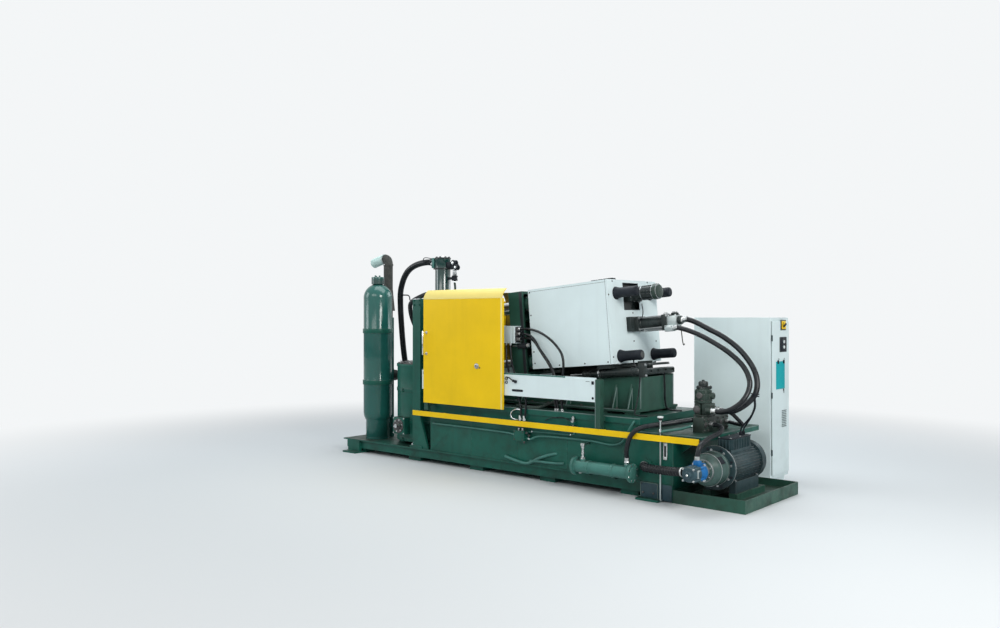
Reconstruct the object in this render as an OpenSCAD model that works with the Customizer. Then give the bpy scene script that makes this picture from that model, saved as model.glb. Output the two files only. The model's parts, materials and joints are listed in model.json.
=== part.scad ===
// Hot-chamber die casting machine with an inclined clamp unit.
// +X runs to the clamp end, -Y is the operator side, +Z is up. Millimetres.

/* [Base and tank] */
// Left end of the base, under the furnace
base_x0 = -1700; // [-1800:10:-1500]
// Right end of the base and tank
base_x1 = 3050; // [2900:10:3200]
// Half width of the base flange
base_half = 580; // [540:5:620]
// Height of the base under the tank
base_h = 165; // [120:5:200]
// Left end of the tank
tank_x0 = -120; // [-140:5:-100]
// Height of the deck above the floor
deck_z = 750; // [700:5:800]
// Right end of the raised deck
deck_x1 = 2710; // [2600:10:2800]
// Right end of the end shelf
shelf_x1 = 3350; // [3250:10:3400]
// Height of the end shelf's top
shelf_z = 632; // [600:2:660]
// Thickness of the deck plate
deck_t = 15; // [8:1:20]
// Height of the motor tray wall
tray_h = 120; // [100:5:140]
// Right end of the motor tray
tray_x1 = 3754; // [3700:1:3850]
// Radius of an anchor hole
anchor_r = 11; // [9:1:14]

/* [Clamp unit] */
// Angle of the clamp unit, rising to the clamp end
tilt = 5; // [0:0.5:8]
// Height of the clamp axis above the origin
axis_z = 1430; // [1380:10:1480]
// Distance between tie bars, both ways
bar_pitch = 630; // [600:5:660]
// Tie bar diameter
bar_d = 85; // [70:1:90]
// Far end of the tie bars along the clamp axis
bar_u1 = 2540; // [2500:10:2600]
// Radial clearance of the platens on the tie bars
bar_gap = 0.3; // [0.1:0.1:1]
// Half width of the fixed and moving platens
platen_half = 450; // [430:5:455]
// Height of the slide ways below the clamp axis
way_w = -495; // [-510:5:-485]
// Thickness of the slide ways
way_t = 30; // [20:1:40]
// Position of the moving platen's die face
moving_u = 1000; // [980:5:1010]
// Position of the rear platen's back face
rear_u = 2250; // [2240:5:2260]

/* [Hood] */
// Hood start along the clamp axis
hood_u0 = 1285; // [1270:5:1300]
// Hood end along the clamp axis
hood_u1 = 2295; // [2290:5:2310]
// Half width of the hood
hood_half = 460; // [455:5:480]
// Hood top above the clamp axis
hood_top = 452; // [445:1:470]
// Hood bottom below the clamp axis
hood_bottom = -390; // [-400:5:-370]
// Sheet thickness of the hood
hood_t = 4; // [3:1:6]

/* [Doors and rails] */
// Left edge of a closed door
door_x0 = -85; // [-130:5:-60]
// Door width
door_w = 1190; // [1100:10:1250]
// Door bottom above the floor
door_z0 = 730; // [700:10:760]
// Height where the door's top lip begins
door_z1 = 1905; // [1850:5:1950]
// Outer face of a door from the centre plane
door_y = 720; // [715:5:740]
// Door sheet thickness
door_t = 5; // [3:1:8]
// Outer face of the cream rail from the centre plane
beam_y = 680; // [670:5:690]
// Bottom of the cream rail
beam_z0 = 880; // [860:5:900]
// Top of the cream rail
beam_z1 = 1100; // [1080:5:1120]
// Running gap of a door's rollers on their rail
roller_gap = 0.3; // [0.2:0.1:1]

/* [Furnace end] */
// Furnace centre along the base
furnace_x = -620; // [-640:5:-600]
// Furnace casing radius
furnace_r = 470; // [450:5:480]
// Top of the furnace casing
furnace_z = 1100; // [1050:10:1150]
// Shot cylinder axis along the base
shot_x = -490; // [-510:5:-480]
// Top of the shot cylinder's bolts
shot_z = 2437; // [2400:1:2470]
// Accumulator radius
bottle_r = 180; // [160:5:190]

/* [Cabinet] */
// Cabinet left side
cab_x0 = 2530; // [2450:10:2600]
// Cabinet width
cab_w = 850; // [800:10:900]
// Cabinet front face from the centre plane
cab_y0 = 790; // [770:5:850]
// Cabinet depth
cab_d = 450; // [400:10:500]
// Cabinet height
cab_h = 1700; // [1600:10:1800]

/* [Hidden] */
$fn = 48;
bar_o = bar_pitch / 2;
bar_bore = bar_d + 2 * bar_gap;
tank_half = base_half - 8;
tank_y = -tank_half;
port_y = tank_half + 18;
deck_half = base_half + 10;
foot_h = 55;
skirt_half = base_half - 35;
flange_t = 15;
end_t = 12;
lip_t = 8;
lip_h = 60;
bed_x0 = -130;
bed_x1 = 2544;
bed_z = 800;
bed_half = 324;
bed_t = 20;
bed_plate_t = 25;
foot_w = 90;
fixed_u0 = -110;
moving_back_u = moving_u + 190;
way_len = 2400;
flange_half = 74;
post_x = 2260;
rail_y = -660;
rail_h = 15;
roller_d = 52;
pin_w = 330;
pin_front_u = 1285;
pin_rear_u = 2010;
elbow_u = 1625;
elbow_w = 80;
strand_y = 150;
pin_d = 50;
rod_d = 60;
pin_play = 0.4;
seat_gap = 0.2;
head_pin_d = 36;
head_pin = [1840, 72];
head_link = [1752, 162];
motor_x = 3390;
motor_z = 345;
cooler_y = tank_y - 108;
cooler_z = 245;
stack_x = 3170;
stack_y = -200;
stack_z = 775;
green = [0.12, 0.30, 0.24];
light_green = [0.34, 0.47, 0.42];
cream = [0.82, 0.86, 0.85];
yellow = [0.96, 0.77, 0.06];
black = [0.06, 0.07, 0.08];
steel = [0.55, 0.57, 0.58];
iron = [0.28, 0.28, 0.28];
blue = [0.05, 0.42, 0.75];
chrome_c = [0.80, 0.81, 0.82];
brown = [0.36, 0.27, 0.20];
white = [0.88, 0.88, 0.86];
teal = [0.05, 0.55, 0.52];

// Sweep of a round hose through smoothed route points, straight at both ends.
function unit(v) = v / norm(v);
function cat(a, b, c, d, t) = 0.5 * ((2 * b) + (c - a) * t + (2 * a - 5 * b + 4 * c - d) * t * t
  + (3 * b - a - 3 * c + d) * t * t * t);
function smooth(p, n) = concat([p[0]], [for (i = [1 : len(p) - 3], k = [0 : n - 1])
  cat(p[i - 1], p[i], p[i + 1], p[i + 2], k / n)], [p[len(p) - 2], p[len(p) - 1]]);

module hose(route, d, ref = [0, 1, 0], steps = 3, sides = 10) {
  p = smooth(route, steps);
  m = len(p);
  e = len(route) - 1;
  tan = [for (i = [0 : m - 1]) unit(i == 0 ? route[1] - route[0]
    : i == m - 1 ? route[e] - route[e - 1] : p[i + 1] - p[i - 1])];
  side = [for (t = tan) unit(cross(t, ref))];
  lift = [for (i = [0 : m - 1]) cross(side[i], tan[i])];
  pts = [for (i = [0 : m - 1], k = [0 : sides - 1])
    p[i] + d / 2 * (cos(360 * k / sides) * side[i] + sin(360 * k / sides) * lift[i])];
  quads = [for (i = [0 : m - 2], k = [0 : sides - 1], h = [0, 1])
    h == 0
      ? [i * sides + k, i * sides + (k + 1) % sides, (i + 1) * sides + k]
      : [i * sides + (k + 1) % sides, (i + 1) * sides + (k + 1) % sides, (i + 1) * sides + k]];
  start = [for (k = [1 : sides - 2]) [0, k + 1, k]];
  last = [for (k = [1 : sides - 2]) [(m - 1) * sides, (m - 1) * sides + k, (m - 1) * sides + k + 1]];
  polyhedron(points = pts, faces = concat(quads, start, last));
}

module inclined() {
  translate([0, 0, axis_z])
    rotate([0, -tilt, 0])
      children();
}

// Box from two corners.
module box(a, b) {
  translate(a)
    cube(b - a);
}

module rod_x(d, u0, u1) {
  translate([u0, 0, 0])
    rotate([0, 90, 0])
      cylinder(d = d, h = u1 - u0);
}

module rod_y(d, y0, y1) {
  translate([0, y0, 0])
    rotate([-90, 0, 0])
      cylinder(d = d, h = y1 - y0);
}

module at_bars() {
  for (sy = [-1, 1], sw = [-1, 1])
    translate([0, sy * bar_o, sw * bar_o])
      children();
}

module both_sides() {
  children();
  mirror([0, 1, 0])
    children();
}

module base_frame() {
  anchor_x = [-1500, 2820];
  color(green)
    difference() {
      union() {
        box([base_x0, -base_half, base_h - flange_t], [base_x1 - end_t, base_half, base_h]);
        box([base_x0 + 30, -skirt_half, foot_h], [base_x1 - end_t, skirt_half, base_h - flange_t]);
        for (x = [-1560, -560, 440, 1440, 2440], s = [-1, 1])
          translate([x, s * (base_half - 150) - 75, 0])
            cube([200, 150, foot_h + 1]);
        box([-100, -75, 0], [100, 75, foot_h + 1]);
        for (x = anchor_x)
          both_sides() {
            box([x - 120, -base_half - 80, 0], [x + 120, -base_half + 80, 20]);
            box([x - 110, -base_half - 2, 19], [x + 110, -skirt_half + 1, base_h - 2]);
          }
      }
      for (x = anchor_x, s = [-1, 1])
        translate([x, s * (base_half + 45), -1])
          cylinder(r = anchor_r, h = 22);
    }
}

module oil_tank() {
  seam_x = [520, 1180, 1840, 2500];
  color(green)
    union() {
      box([tank_x0, tank_y, base_h], [base_x1, tank_half, shelf_z - deck_t]);
      box([tank_x0, tank_y, base_h], [deck_x1 - 20, tank_half, deck_z - deck_t]);
      box([base_x1 - end_t, tank_y - 4, 0], [base_x1, tank_half + 4, shelf_z - deck_t]);
      box([tank_x0 - 20, -deck_half, deck_z - deck_t], [deck_x1, deck_half, deck_z]);
      both_sides() {
        box([tank_x0 - 20, -deck_half, deck_z - lip_h], [deck_x1, -deck_half + lip_t, deck_z - 1]);
        for (x = seam_x)
          box([x, tank_y - 2, base_h + 5], [x + 12, tank_y + 1, deck_z - lip_h]);
        translate([base_x1 - 1, -400, 0])
          rotate([90, 0, 0])
            linear_extrude(height = 12)
              polygon([[0, 440], [0, shelf_z - deck_t + 1], [240, shelf_z - deck_t + 1]]);
      }
      box([deck_x1 - lip_t, -deck_half, deck_z - lip_h], [deck_x1, deck_half, deck_z - 1]);
      box([deck_x1 - 21, -deck_half, shelf_z - deck_t], [shelf_x1, deck_half, shelf_z]);
      box([shelf_x1 - lip_t, -deck_half, shelf_z - 50], [shelf_x1, deck_half, shelf_z - 1]);
      translate([2770, 0, 313])
        rod_y(124, -port_y, tank_y + 1);
    }
}

module motor_tray() {
  wall = 10;
  floor_z = 50;
  tray_half = base_half - 5;
  color(green) {
    difference() {
      box([base_x1, -tray_half, 0], [tray_x1, tray_half, tray_h]);
      box([base_x1 + wall, -tray_half + wall, floor_z], [tray_x1 - wall, tray_half - wall, tray_h + 1]);
    }
    for (x = [motor_x - 130, motor_x + 130])
      box([x - 40, -330, floor_z - 1], [x + 40, 260, tray_h - 8]);
  }
}

module furnace() {
  color(green)
    translate([furnace_x, 0, 0]) {
      difference() {
        union() {
          translate([0, 0, base_h + 40])
            cylinder(r = furnace_r, h = furnace_z - base_h - 40, $fn = 96);
          translate([0, 0, furnace_z - 1])
            cylinder(r = furnace_r + 8, h = 36, $fn = 96);
          for (z = [base_h + 40, 420, 800])
            translate([0, 0, z])
              cylinder(r = furnace_r + 6, h = 40, $fn = 96);
          box([-160, -furnace_r - 90, 300], [40, -furnace_r + 80, 500]);
          for (x = [-300, 220], y = [-330, 230])
            translate([x, y, base_h])
              cube([80, 100, 41]);
        }
        translate([0, 0, 480])
          cylinder(r = 340, h = furnace_z, $fn = 96);
        translate([-60, -furnace_r - 60, 400])
          rotate([90, 0, 0])
            cylinder(d = 90, h = 60);
      }
    }
}

module melt_pot() {
  pot_r = 310;
  pot_wall = 30;
  rim_z = furnace_z + 35;
  color(iron)
    translate([furnace_x, 0, 0])
      rotate_extrude($fn = 96)
        polygon([[0, 560], [200, 560], [pot_r, 680], [pot_r, rim_z], [pot_r + 80, rim_z],
          [pot_r + 80, rim_z + 20], [pot_r - pot_wall, rim_z + 20], [pot_r - pot_wall, 695],
          [188, 590], [0, 590]]);
}

module gooseneck() {
  body_d = 150;
  top_z = 1250;
  color(iron)
    union() {
      difference() {
        union() {
          translate([shot_x, 0, 760])
            cylinder(d = body_d, h = top_z - 760);
          box([shot_x, -45, 780], [shot_x + 135, 45, top_z]);
          inclined()
            rod_x(110, -430, -300);
          inclined()
            rod_x(56, -301, fixed_u0 + 90);
          box([shot_x + 72, -45, top_z - 1], [shot_x + 135, 45, 1380]);
        }
        translate([shot_x, 0, top_z - 120])
          cylinder(d = 60, h = 121);
      }
    }
}

module shot_bridge() {
  col_x0 = shot_x + 60;
  col_x1 = shot_x + 190;
  beam_top = 1920;
  head_half = 350;
  col_y = max(base_half - 15, furnace_r + 95);
  color(green) {
    difference() {
      union() {
        both_sides() {
          box([col_x0, -col_y, base_h], [col_x1, -col_y + 65, beam_top - 90]);
          box([col_x0 - 40, -col_y - 10, base_h], [col_x1 + 40, -col_y + 65, base_h + 25]);
          translate([col_x1 - 1, -col_y, 0])
            rotate([90, 0, 0])
              mirror([0, 0, 1])
                linear_extrude(height = 30)
                  polygon([[0, base_h], [130, base_h], [0, 520]]);
          box([col_x1 - 1, -col_y + 15, 1330], [-118, -col_y + 55, 1470]);
        }
        box([col_x0, -col_y, beam_top - 90], [col_x1, col_y, beam_top]);
        box([shot_x - 115, -head_half, beam_top - 90], [col_x1, head_half, beam_top]);
        inclined()
          both_sides()
            box([fixed_u0 - 80, 14 - col_y, -140], [fixed_u0, 50 - platen_half, 80]);
      }
      translate([shot_x, 0, beam_top - 91])
        cylinder(d = 90, h = 92);
    }
    both_sides()
      translate([shot_x, -115, 1289])
        cylinder(d = 45, h = beam_top - 90 - 1288);
    difference() {
      box([shot_x - 90, -160, 1250], [shot_x + 70, 160, 1290]);
      translate([shot_x, 0, 1249])
        cylinder(d = 90, h = 42);
    }
  }
}

module shot_cylinder() {
  foot_z = 1920;
  head_z = 2295;
  tube_d = 190;
  head_d = 188;
  color(green)
    translate([shot_x, 0, 0]) {
      translate([0, 0, foot_z])
        cylinder(d = 280, h = 40);
      translate([0, 0, foot_z + 39])
        cylinder(d = tube_d, h = head_z - foot_z - 38);
      translate([0, 0, head_z])
        cylinder(d = 236, h = 16);
      translate([0, 0, head_z + 15])
        cylinder(d = head_d, h = 115);
      translate([0, 0, head_z + 129])
        cylinder(d = 200, h = 16);
      for (a = [0 : 45 : 315])
        rotate([0, 0, a + 22.5])
          translate([80, 0, head_z + 144])
            cylinder(d = 24, h = shot_z - head_z - 144, $fn = 6);
      box([-112, -70, 2315], [-80, 70, 2435]);
      for (y = [-50, 50], z = [2335, 2415])
        translate([0, y, z])
          rod_x(20, -126, -111);
      translate([0, -40, 1997])
        rod_x(74, -112, -70);
      box([80, -35, 2310], [180, 35, 2380]);
      translate([200, -35, 2365])
        rod_y(74, 0, 70);
      translate([240, -30, 2310])
        rod_y(64, 0, 60);
      box([150, -30, 2290], [250, 30, 2350]);
      translate([205, 0, 2210])
        cylinder(d = 50, h = 82);
      translate([205, 0, 2150])
        cylinder(d = 76, h = 61);
      box([80, -20, 2165], [210, 20, 2195]);
      translate([205, 0, foot_z + 20])
        cylinder(d = 28, h = 232);
      box([110, -25, foot_z + 10], [225, 25, foot_z + 30]);
      translate([0, 0, 1745])
        cylinder(d = 70, h = foot_z - 1744);
      translate([0, 0, 1640])
        cylinder(d = 110, h = 106);
      translate([0, 0, 1150])
        cylinder(d = 45, h = 491);
    }
}

module accumulator() {
  low_z = 500;
  high_z = 1950;
  color(green)
    translate([-1350, -310, 0]) {
      translate([0, 0, low_z])
        cylinder(r = bottle_r, h = high_z - low_z, $fn = 72);
      intersection() {
        translate([0, 0, high_z])
          sphere(r = bottle_r, $fn = 72);
        translate([0, 0, high_z - 1])
          cylinder(r = bottle_r + 1, h = bottle_r + 2);
      }
      intersection() {
        translate([0, 0, low_z])
          sphere(r = bottle_r, $fn = 72);
        translate([0, 0, low_z - bottle_r - 1])
          cylinder(r = bottle_r + 1, h = bottle_r + 2);
      }
      difference() {
        translate([0, 0, base_h])
          cylinder(r = 150, h = 300);
        translate([0, 0, base_h - 1])
          cylinder(r = 140, h = 302);
      }
      translate([0, 0, high_z + bottle_r - 25])
        cylinder(d = 120, h = 60);
      translate([0, 0, high_z + bottle_r + 34])
        cylinder(d = 162, h = 50);
      for (y = [-40, 30])
        translate([0, y, high_z + bottle_r + 83])
          cylinder(d = 22, h = 24);
      box([-50, bottle_r + 12, base_h], [50, bottle_r + 50, 1700]);
      for (z = [850, 1500])
        translate([0, 0, z])
          difference() {
            union() {
              cylinder(r = bottle_r + 8, h = 60);
              box([-60, 100, 0], [60, bottle_r + 14, 60]);
            }
            translate([0, 0, -1])
              cylinder(r = bottle_r - 1, h = 62);
          }
    }
  color(green)
    translate([-1390, 300, base_h]) {
      translate([-80, -80, 0])
        cube([160, 160, 130]);
      translate([-50, -50, 129])
        cube([100, 100, 71]);
      translate([0, 0, 199])
        cylinder(d = 96, h = 24);
    }
}

module flue_stub() {
  pipe_d = 122;
  bend_d = 118;
  collar_d = 138;
  collar_h = 22;
  low_r = 130;
  top_r = 82;
  duct_d = 116;
  duct_len = 210;
  flue_x = -1510;
  low_z = 950;
  top_z = 2390;
  color(brown) {
    difference() {
      translate([0, 0, low_z]) {
        rod_x(pipe_d, flue_x + low_r, furnace_x - furnace_r + 14);
        rod_x(pipe_d + 40, furnace_x - furnace_r - 22, furnace_x - furnace_r + 30);
      }
      translate([furnace_x, 0, low_z - 100])
        cylinder(r = furnace_r, h = 200, $fn = 96);
    }
    translate([flue_x, 0, low_z + low_r])
      cylinder(d = pipe_d, h = top_z - low_z - low_r);
    translate([flue_x, 0, 1790])
      cylinder(d1 = 176, d2 = pipe_d + 2, h = 270);
    for (z = [low_z + low_r - collar_h / 2, 1500, top_z - collar_h / 2])
      translate([flue_x, 0, z])
        cylinder(d = collar_d, h = collar_h);
    translate([flue_x + low_r, 0, low_z + low_r])
      rotate([90, 0, 0])
        rotate([0, 0, 180])
          rotate_extrude(angle = 90)
            translate([low_r, 0])
              circle(d = bend_d);
    translate([0, 0, low_z])
      rod_x(collar_d, flue_x + low_r - collar_h / 2, flue_x + low_r + collar_h / 2);
    translate([flue_x - top_r, 0, top_z])
      rotate([90, 0, 0])
        rotate_extrude(angle = 90)
          translate([top_r, 0])
            circle(d = bend_d);
  }
  color(light_green)
    translate([0, 0, top_z + top_r]) {
      rod_x(duct_d, flue_x - top_r - duct_len, flue_x - top_r);
      rod_x(duct_d + 10, flue_x - top_r - 30, flue_x - top_r - 10);
    }
}

module clamp_bed() {
  function top(x) = axis_z + (way_w - way_t - seat_gap) / cos(tilt) + x * tan(tilt);
  color(green) {
    both_sides() {
      translate([0, -bed_half + bed_t, 0])
        rotate([90, 0, 0])
          linear_extrude(height = bed_t)
            polygon([[bed_x0, bed_z - 1], [bed_x1, bed_z - 1], [bed_x1, top(bed_x1)], [bed_x0, top(bed_x0)]]);
      for (x = [500, 1100, 1700, 2270, 2450])
        translate([x + 8, -bed_half, 0])
          rotate([90, 0, -90])
            linear_extrude(height = 16)
              polygon([[-1, bed_z - 1], [70, bed_z - 1], [70, bed_z + 12], [0, top(x) - 70],
                [-1, top(x) - 70]]);
      for (x = [-120, 400, 1000, 1600, 2100, 2420])
        box([x, -400, deck_z], [x + 110, -300, bed_z - bed_plate_t + 1]);
    }
    difference() {
      box([bed_x0, -410, bed_z - bed_plate_t], [bed_x1, 410, bed_z]);
      box([200, -240, bed_z - bed_plate_t - 1], [900, 240, bed_z + 1]);
    }
    box([bed_x1 - 12, -bed_half + 1, bed_z - 1], [bed_x1, bed_half - 1, top(bed_x1) - 12]);
    box([bed_x0, -bed_half + 1, bed_z - 1], [bed_x0 + 12, bed_half - 1, top(bed_x0)]);
  }
}

module slide_ways() {
  color(steel)
    inclined()
      both_sides()
        box([-120, -bed_half + 2, way_w - way_t], [-120 + way_len, -bed_half + 92, way_w]);
}

module platen_feet(u0, u1, w1) {
  for (s = [-1, 1])
    translate([u0, s * (bed_half - 47) - foot_w / 2, way_w])
      cube([u1 - u0, foot_w, w1 - way_w]);
}

module fixed_platen() {
  u0 = fixed_u0;
  u1 = 90;
  color(green)
    inclined()
      difference() {
        union() {
          box([u0, -platen_half, -platen_half], [u1, platen_half, platen_half]);
          platen_feet(u0, u1, -platen_half + 1);
        }
        at_bars()
          rod_x(bar_bore, u0 - 1, u1 + 1);
        rod_x(112, u0 - 1, u1 + 1);
        rod_x(240, u0 - 1, u0 + 60);
        for (y = [-210, -70, 70, 210]) {
          box([u1 - 22, y - 11, -platen_half - 1], [u1 + 1, y + 11, platen_half + 1]);
          box([u1 - 38, y - 19, -platen_half - 1], [u1 - 21, y + 19, platen_half + 1]);
        }
        both_sides()
          for (w = [-180, 0, 180])
            box([u0 + 50, -platen_half - 1, w - 70], [u1 - 60, -platen_half + 60, w + 70]);
      }
}

module moving_platen() {
  u1 = moving_u + 70;
  u2 = moving_back_u;
  color(green)
    inclined()
      difference() {
        union() {
          box([moving_u, -platen_half, -platen_half], [u1, platen_half, platen_half]);
          at_bars()
            rod_x(170, moving_u + 1, u2 + 30);
          for (y = [-platen_half, -165, -15, 135, platen_half - 30])
            box([u1 - 1, y, -platen_half], [u2, y + 30, platen_half]);
          for (w = [-platen_half, -165, -15, 135, platen_half - 30])
            box([u1 - 1, -platen_half, w], [u2, platen_half, w + 30]);
          platen_feet(moving_u, u2, -platen_half + 1);
        }
        at_bars()
          rod_x(bar_bore, moving_u - 1, u2 + 31);
        rod_x(112, moving_u - 1, moving_u + 40);
        for (y = [-210, -70, 70, 210]) {
          box([moving_u - 1, y - 11, -platen_half - 1], [moving_u + 22, y + 11, platen_half + 1]);
          box([moving_u + 21, y - 19, -platen_half - 1], [moving_u + 38, y + 19, platen_half + 1]);
        }
      }
}

module core_valve_box() {
  box_x1 = 1100;
  color(cream) {
    box([900, -560, 1424], [box_x1, -platen_half, 1608]);
    for (z = [1470, 1525, 1575])
      translate([0, -510, z])
        rod_x(30, box_x1, box_x1 + 60);
  }
}

module rear_platen() {
  u0 = rear_u - 80;
  u_boss = rear_u - 200;
  half = 430;
  color(green)
    inclined()
      difference() {
        union() {
          box([u0, -half, -half], [rear_u, half, half]);
          at_bars()
            rod_x(170, u_boss, rear_u - 1);
          for (y = [-half, -60, 30, half - 30])
            box([u_boss + 40, y, -half], [u0 + 1, y + 30, half]);
          platen_feet(u_boss, rear_u, -half + 1);
        }
        at_bars()
          rod_x(bar_bore, u_boss - 1, rear_u + 1);
        rod_x(110, u0 - 1, rear_u + 1);
      }
}

module tie_bars() {
  color(steel)
    inclined()
      at_bars() {
        rod_x(bar_d, fixed_u0 - 80, bar_u1);
        rod_x(150, fixed_u0 - 80, fixed_u0);
        rod_x(170, rear_u, rear_u + 32);
      }
}

module tie_bar_caps() {
  wall = hood_u1;
  color(black)
    inclined()
      at_bars()
        difference() {
          union() {
            translate([wall, 0, 0])
              rotate([0, 90, 0])
                cylinder(d1 = 126, d2 = 100, h = 55);
            rod_x(100, wall + 54, bar_u1 - 10);
            rod_x(92, bar_u1 - 11, bar_u1 + 10);
          }
          rod_x(bar_bore, wall - 1, bar_u1);
        }
}

// Eye on a platen's face, from the pin at u to the face at u_face.
module lug(u, u_face, y0, y1) {
  difference() {
    union() {
      box([min(u, u_face), y0, -50], [max(u, u_face), y1, 50]);
      translate([u, 0, 0])
        rod_y(100, y0, y1);
    }
    translate([u, 0, 0])
      rod_y(pin_d + pin_play, y0 - 1, y1 + 1);
  }
}

module toggle_lugs() {
  color(green)
    inclined()
      for (sy = [-1, 1], sw = [-1, 1])
        translate([0, sy * strand_y, sw * pin_w]) {
          lug(pin_front_u, moving_back_u, -24, 24);
          for (e = [-1, 1])
            lug(pin_rear_u, rear_u - 80, e * 41 - 15, e * 41 + 15);
        }
}

// Link plate between two pins given as [u, w].
module link(a, b, y0, y1, r, d = pin_d) {
  len_ab = norm(b - a);
  ang = atan2(b[1] - a[1], b[0] - a[0]);
  translate([a[0], 0, a[1]])
    rotate([0, -ang, 0])
      difference() {
        union() {
          rod_y(2 * r, y0, y1);
          translate([len_ab, 0, 0])
            rod_y(2 * r, y0, y1);
          box([0, y0, -r * 0.7], [len_ab, y1, r * 0.7]);
        }
        rod_y(d + pin_play, y0 - 1, y1 + 1);
        translate([len_ab, 0, 0])
          rod_y(d + pin_play, y0 - 1, y1 + 1);
      }
}

module pin(at, d, half) {
  translate([at[0], 0, at[1]])
    rod_y(d, -half, half);
}

// Five-point toggle, folded: front links, rear links, crosshead links and the crosshead on its rod.
module toggle_links() {
  elbow = [elbow_u, elbow_w];
  front = [pin_front_u, pin_w];
  rear = [pin_rear_u, pin_w];
  color(iron)
    inclined()
      for (sw = [0, 1], sy = [-1, 1])
        mirror([0, 0, sw])
          translate([0, sy * strand_y, 0]) {
            difference() {
              link(elbow, rear, -25, 25, 46);
              pin(head_link, head_pin_d + pin_play, 26);
            }
            for (y0 = [-46, 26])
              link(front, elbow, y0, y0 + 20, 44);
            for (y0 = [-42, 26])
              link(head_pin, head_link, y0, y0 + 16, 28, head_pin_d);
            pin(front, pin_d, 50);
            pin(elbow, pin_d, 50);
            pin(rear, pin_d, 60);
            for (at = [head_pin, head_link])
              pin(at, head_pin_d, 46);
          }
  crosshead();
}

module crosshead() {
  head_u = head_pin[0] - 40;
  color(steel)
    inclined()
      difference() {
        union() {
          box([head_u, -230, -45], [head_u + 80, 230, 45]);
          rod_x(rod_d, head_u + 79, rear_u + 40);
          both_sides()
            box([head_u + 10, -245, -30], [head_u + 70, -229, 30]);
          for (sy = [-1, 1], sw = [-1, 1])
            translate([0, sy * strand_y, sw * head_pin[1]]) {
              box([head_pin[0] - 26, -25, sw > 0 ? -28 : 0], [head_pin[0] + 26, 25, sw > 0 ? 0 : 28]);
              translate([head_pin[0], 0, 0])
                rod_y(52, -25, 25);
            }
        }
        for (sy = [-1, 1], sw = [-1, 1])
          translate([head_pin[0], sy * strand_y, sw * head_pin[1]])
            rod_y(head_pin_d + pin_play, -26, 26);
      }
}

module clamp_hood() {
  u0 = hood_u0;
  u1 = hood_u1;
  color(cream)
    inclined()
      difference() {
        union() {
          difference() {
            box([u0, -hood_half, hood_bottom], [u1, hood_half, hood_top]);
            box([u0 - 1, -hood_half + hood_t, hood_bottom - 1],
              [u1 - hood_t, hood_half - hood_t, hood_top - hood_t]);
          }
          box([u0, -hood_half + 1, hood_top - 30], [u0 + hood_t, hood_half - 1, hood_top - 1]);
          both_sides() {
            box([u0, -hood_half + 1, hood_bottom], [u0 + hood_t, -hood_half + 28, hood_top - 1]);
            box([u0, -hood_half + 1, hood_bottom], [u1 - 1, -hood_half + 24, hood_bottom + hood_t]);
            for (w = [-300, 240])
              box([rear_u - 70, -hood_half + 1, w], [rear_u - 10, -430, w + 60]);
          }
        }
        at_bars()
          rod_x(104, u1 - 10, u1 + 1);
        box([u1 - 10, -flange_half - 2, -flange_half - 2], [u1 + 1, flange_half + 2, flange_half + 2]);
        box([u1 - 10, -180, 150], [u1 + 1, 100, 420]);
      }
}

module lubrication_block() {
  color(black)
    inclined()
      translate([1790, -70, hood_top]) {
        cube([340, 140, 22]);
        for (i = [0 : 8])
          translate([26 + i * 30, 30, 21])
            cube([18, 80, 40]);
      }
}

module clamp_cylinder() {
  tube_d = 105;
  color(green)
    inclined() {
      difference() {
        box([rear_u, -flange_half, -flange_half], [rear_u + 130, flange_half, flange_half]);
        rod_x(rod_d + 2 * bar_gap, rear_u - 1, rear_u + 60);
      }
      box([rear_u + 127, -165, -74], [rear_u + 180, 0, 74]);
      rod_x(tube_d, rear_u + 129, 2640);
      for (sy = [-1, 1], sw = [-1, 1])
        translate([0, sy * 56, sw * 56])
          rod_x(16, rear_u + 129, 2700);
      translate([0, 0, -76])
        rod_x(20, rear_u + 90, 2650);
      box([2640, -68, -86], [2690, 68, 68]);
      box([2689, -55, -50], [2800, 55, 50]);
      box([2700, -122, -106], [2790, -54, -44]);
      translate([2760, 0, 0])
        cylinder(d = 76, h = 92);
      translate([2745, 0, -90])
        cylinder(d = 70, h = 60);
      rod_x(84, 2799, 2850);
    }
}

module height_motor() {
  my = -40;
  mw = 306;
  color(green)
    inclined()
      translate([0, my, mw]) {
        box([rear_u, -70, -74], [2330, 70, 74]);
        rod_x(140, 2329, 2570);
        rod_x(160, 2330, 2344);
        rod_x(148, 2440, 2452);
        rod_x(158, 2569, 2640);
      }
}

// Door as a folded sheet, a lip that leans in over the die space, and two roller hangers.
module door_sheet() {
  y = -door_y;
  t = door_t;
  z1 = door_z1;
  fold = 34;
  zl = z1 + seat_gap;
  color(yellow) {
    translate([door_x0, 0, 0])
      rotate([90, 0, 90])
        linear_extrude(height = door_w)
          polygon([[y, door_z0], [y + fold, door_z0], [y + fold, door_z0 + t], [y + t, door_z0 + t],
            [y + t, z1], [y, z1]]);
    for (x = [door_x0, door_x0 + door_w - t])
      box([x, y + 1, door_z0], [x + t, y + fold, z1]);
    translate([door_x0, 0, 0])
      rotate([90, 0, 90])
        linear_extrude(height = door_w)
          polygon([[y, zl], [y + t, zl], [y + 14, z1 + 30], [y + 38, z1 + 68], [y + 76, z1 + 100],
            [y + 73, z1 + 105], [y + 34, z1 + 72], [y + 9, z1 + 32]]);
    for (x = [door_x0 + 170, door_x0 + door_w - 170])
      translate([x, 0, beam_z1 + rail_h + roller_gap + roller_d / 2]) {
        box([-40, y + t + seat_gap, -26], [40, y + 16, 26]);
        rod_y(16, y + 15, rail_y + 18);
        rod_y(roller_d, rail_y - 10, rail_y + 12);
      }
  }
}

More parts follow.
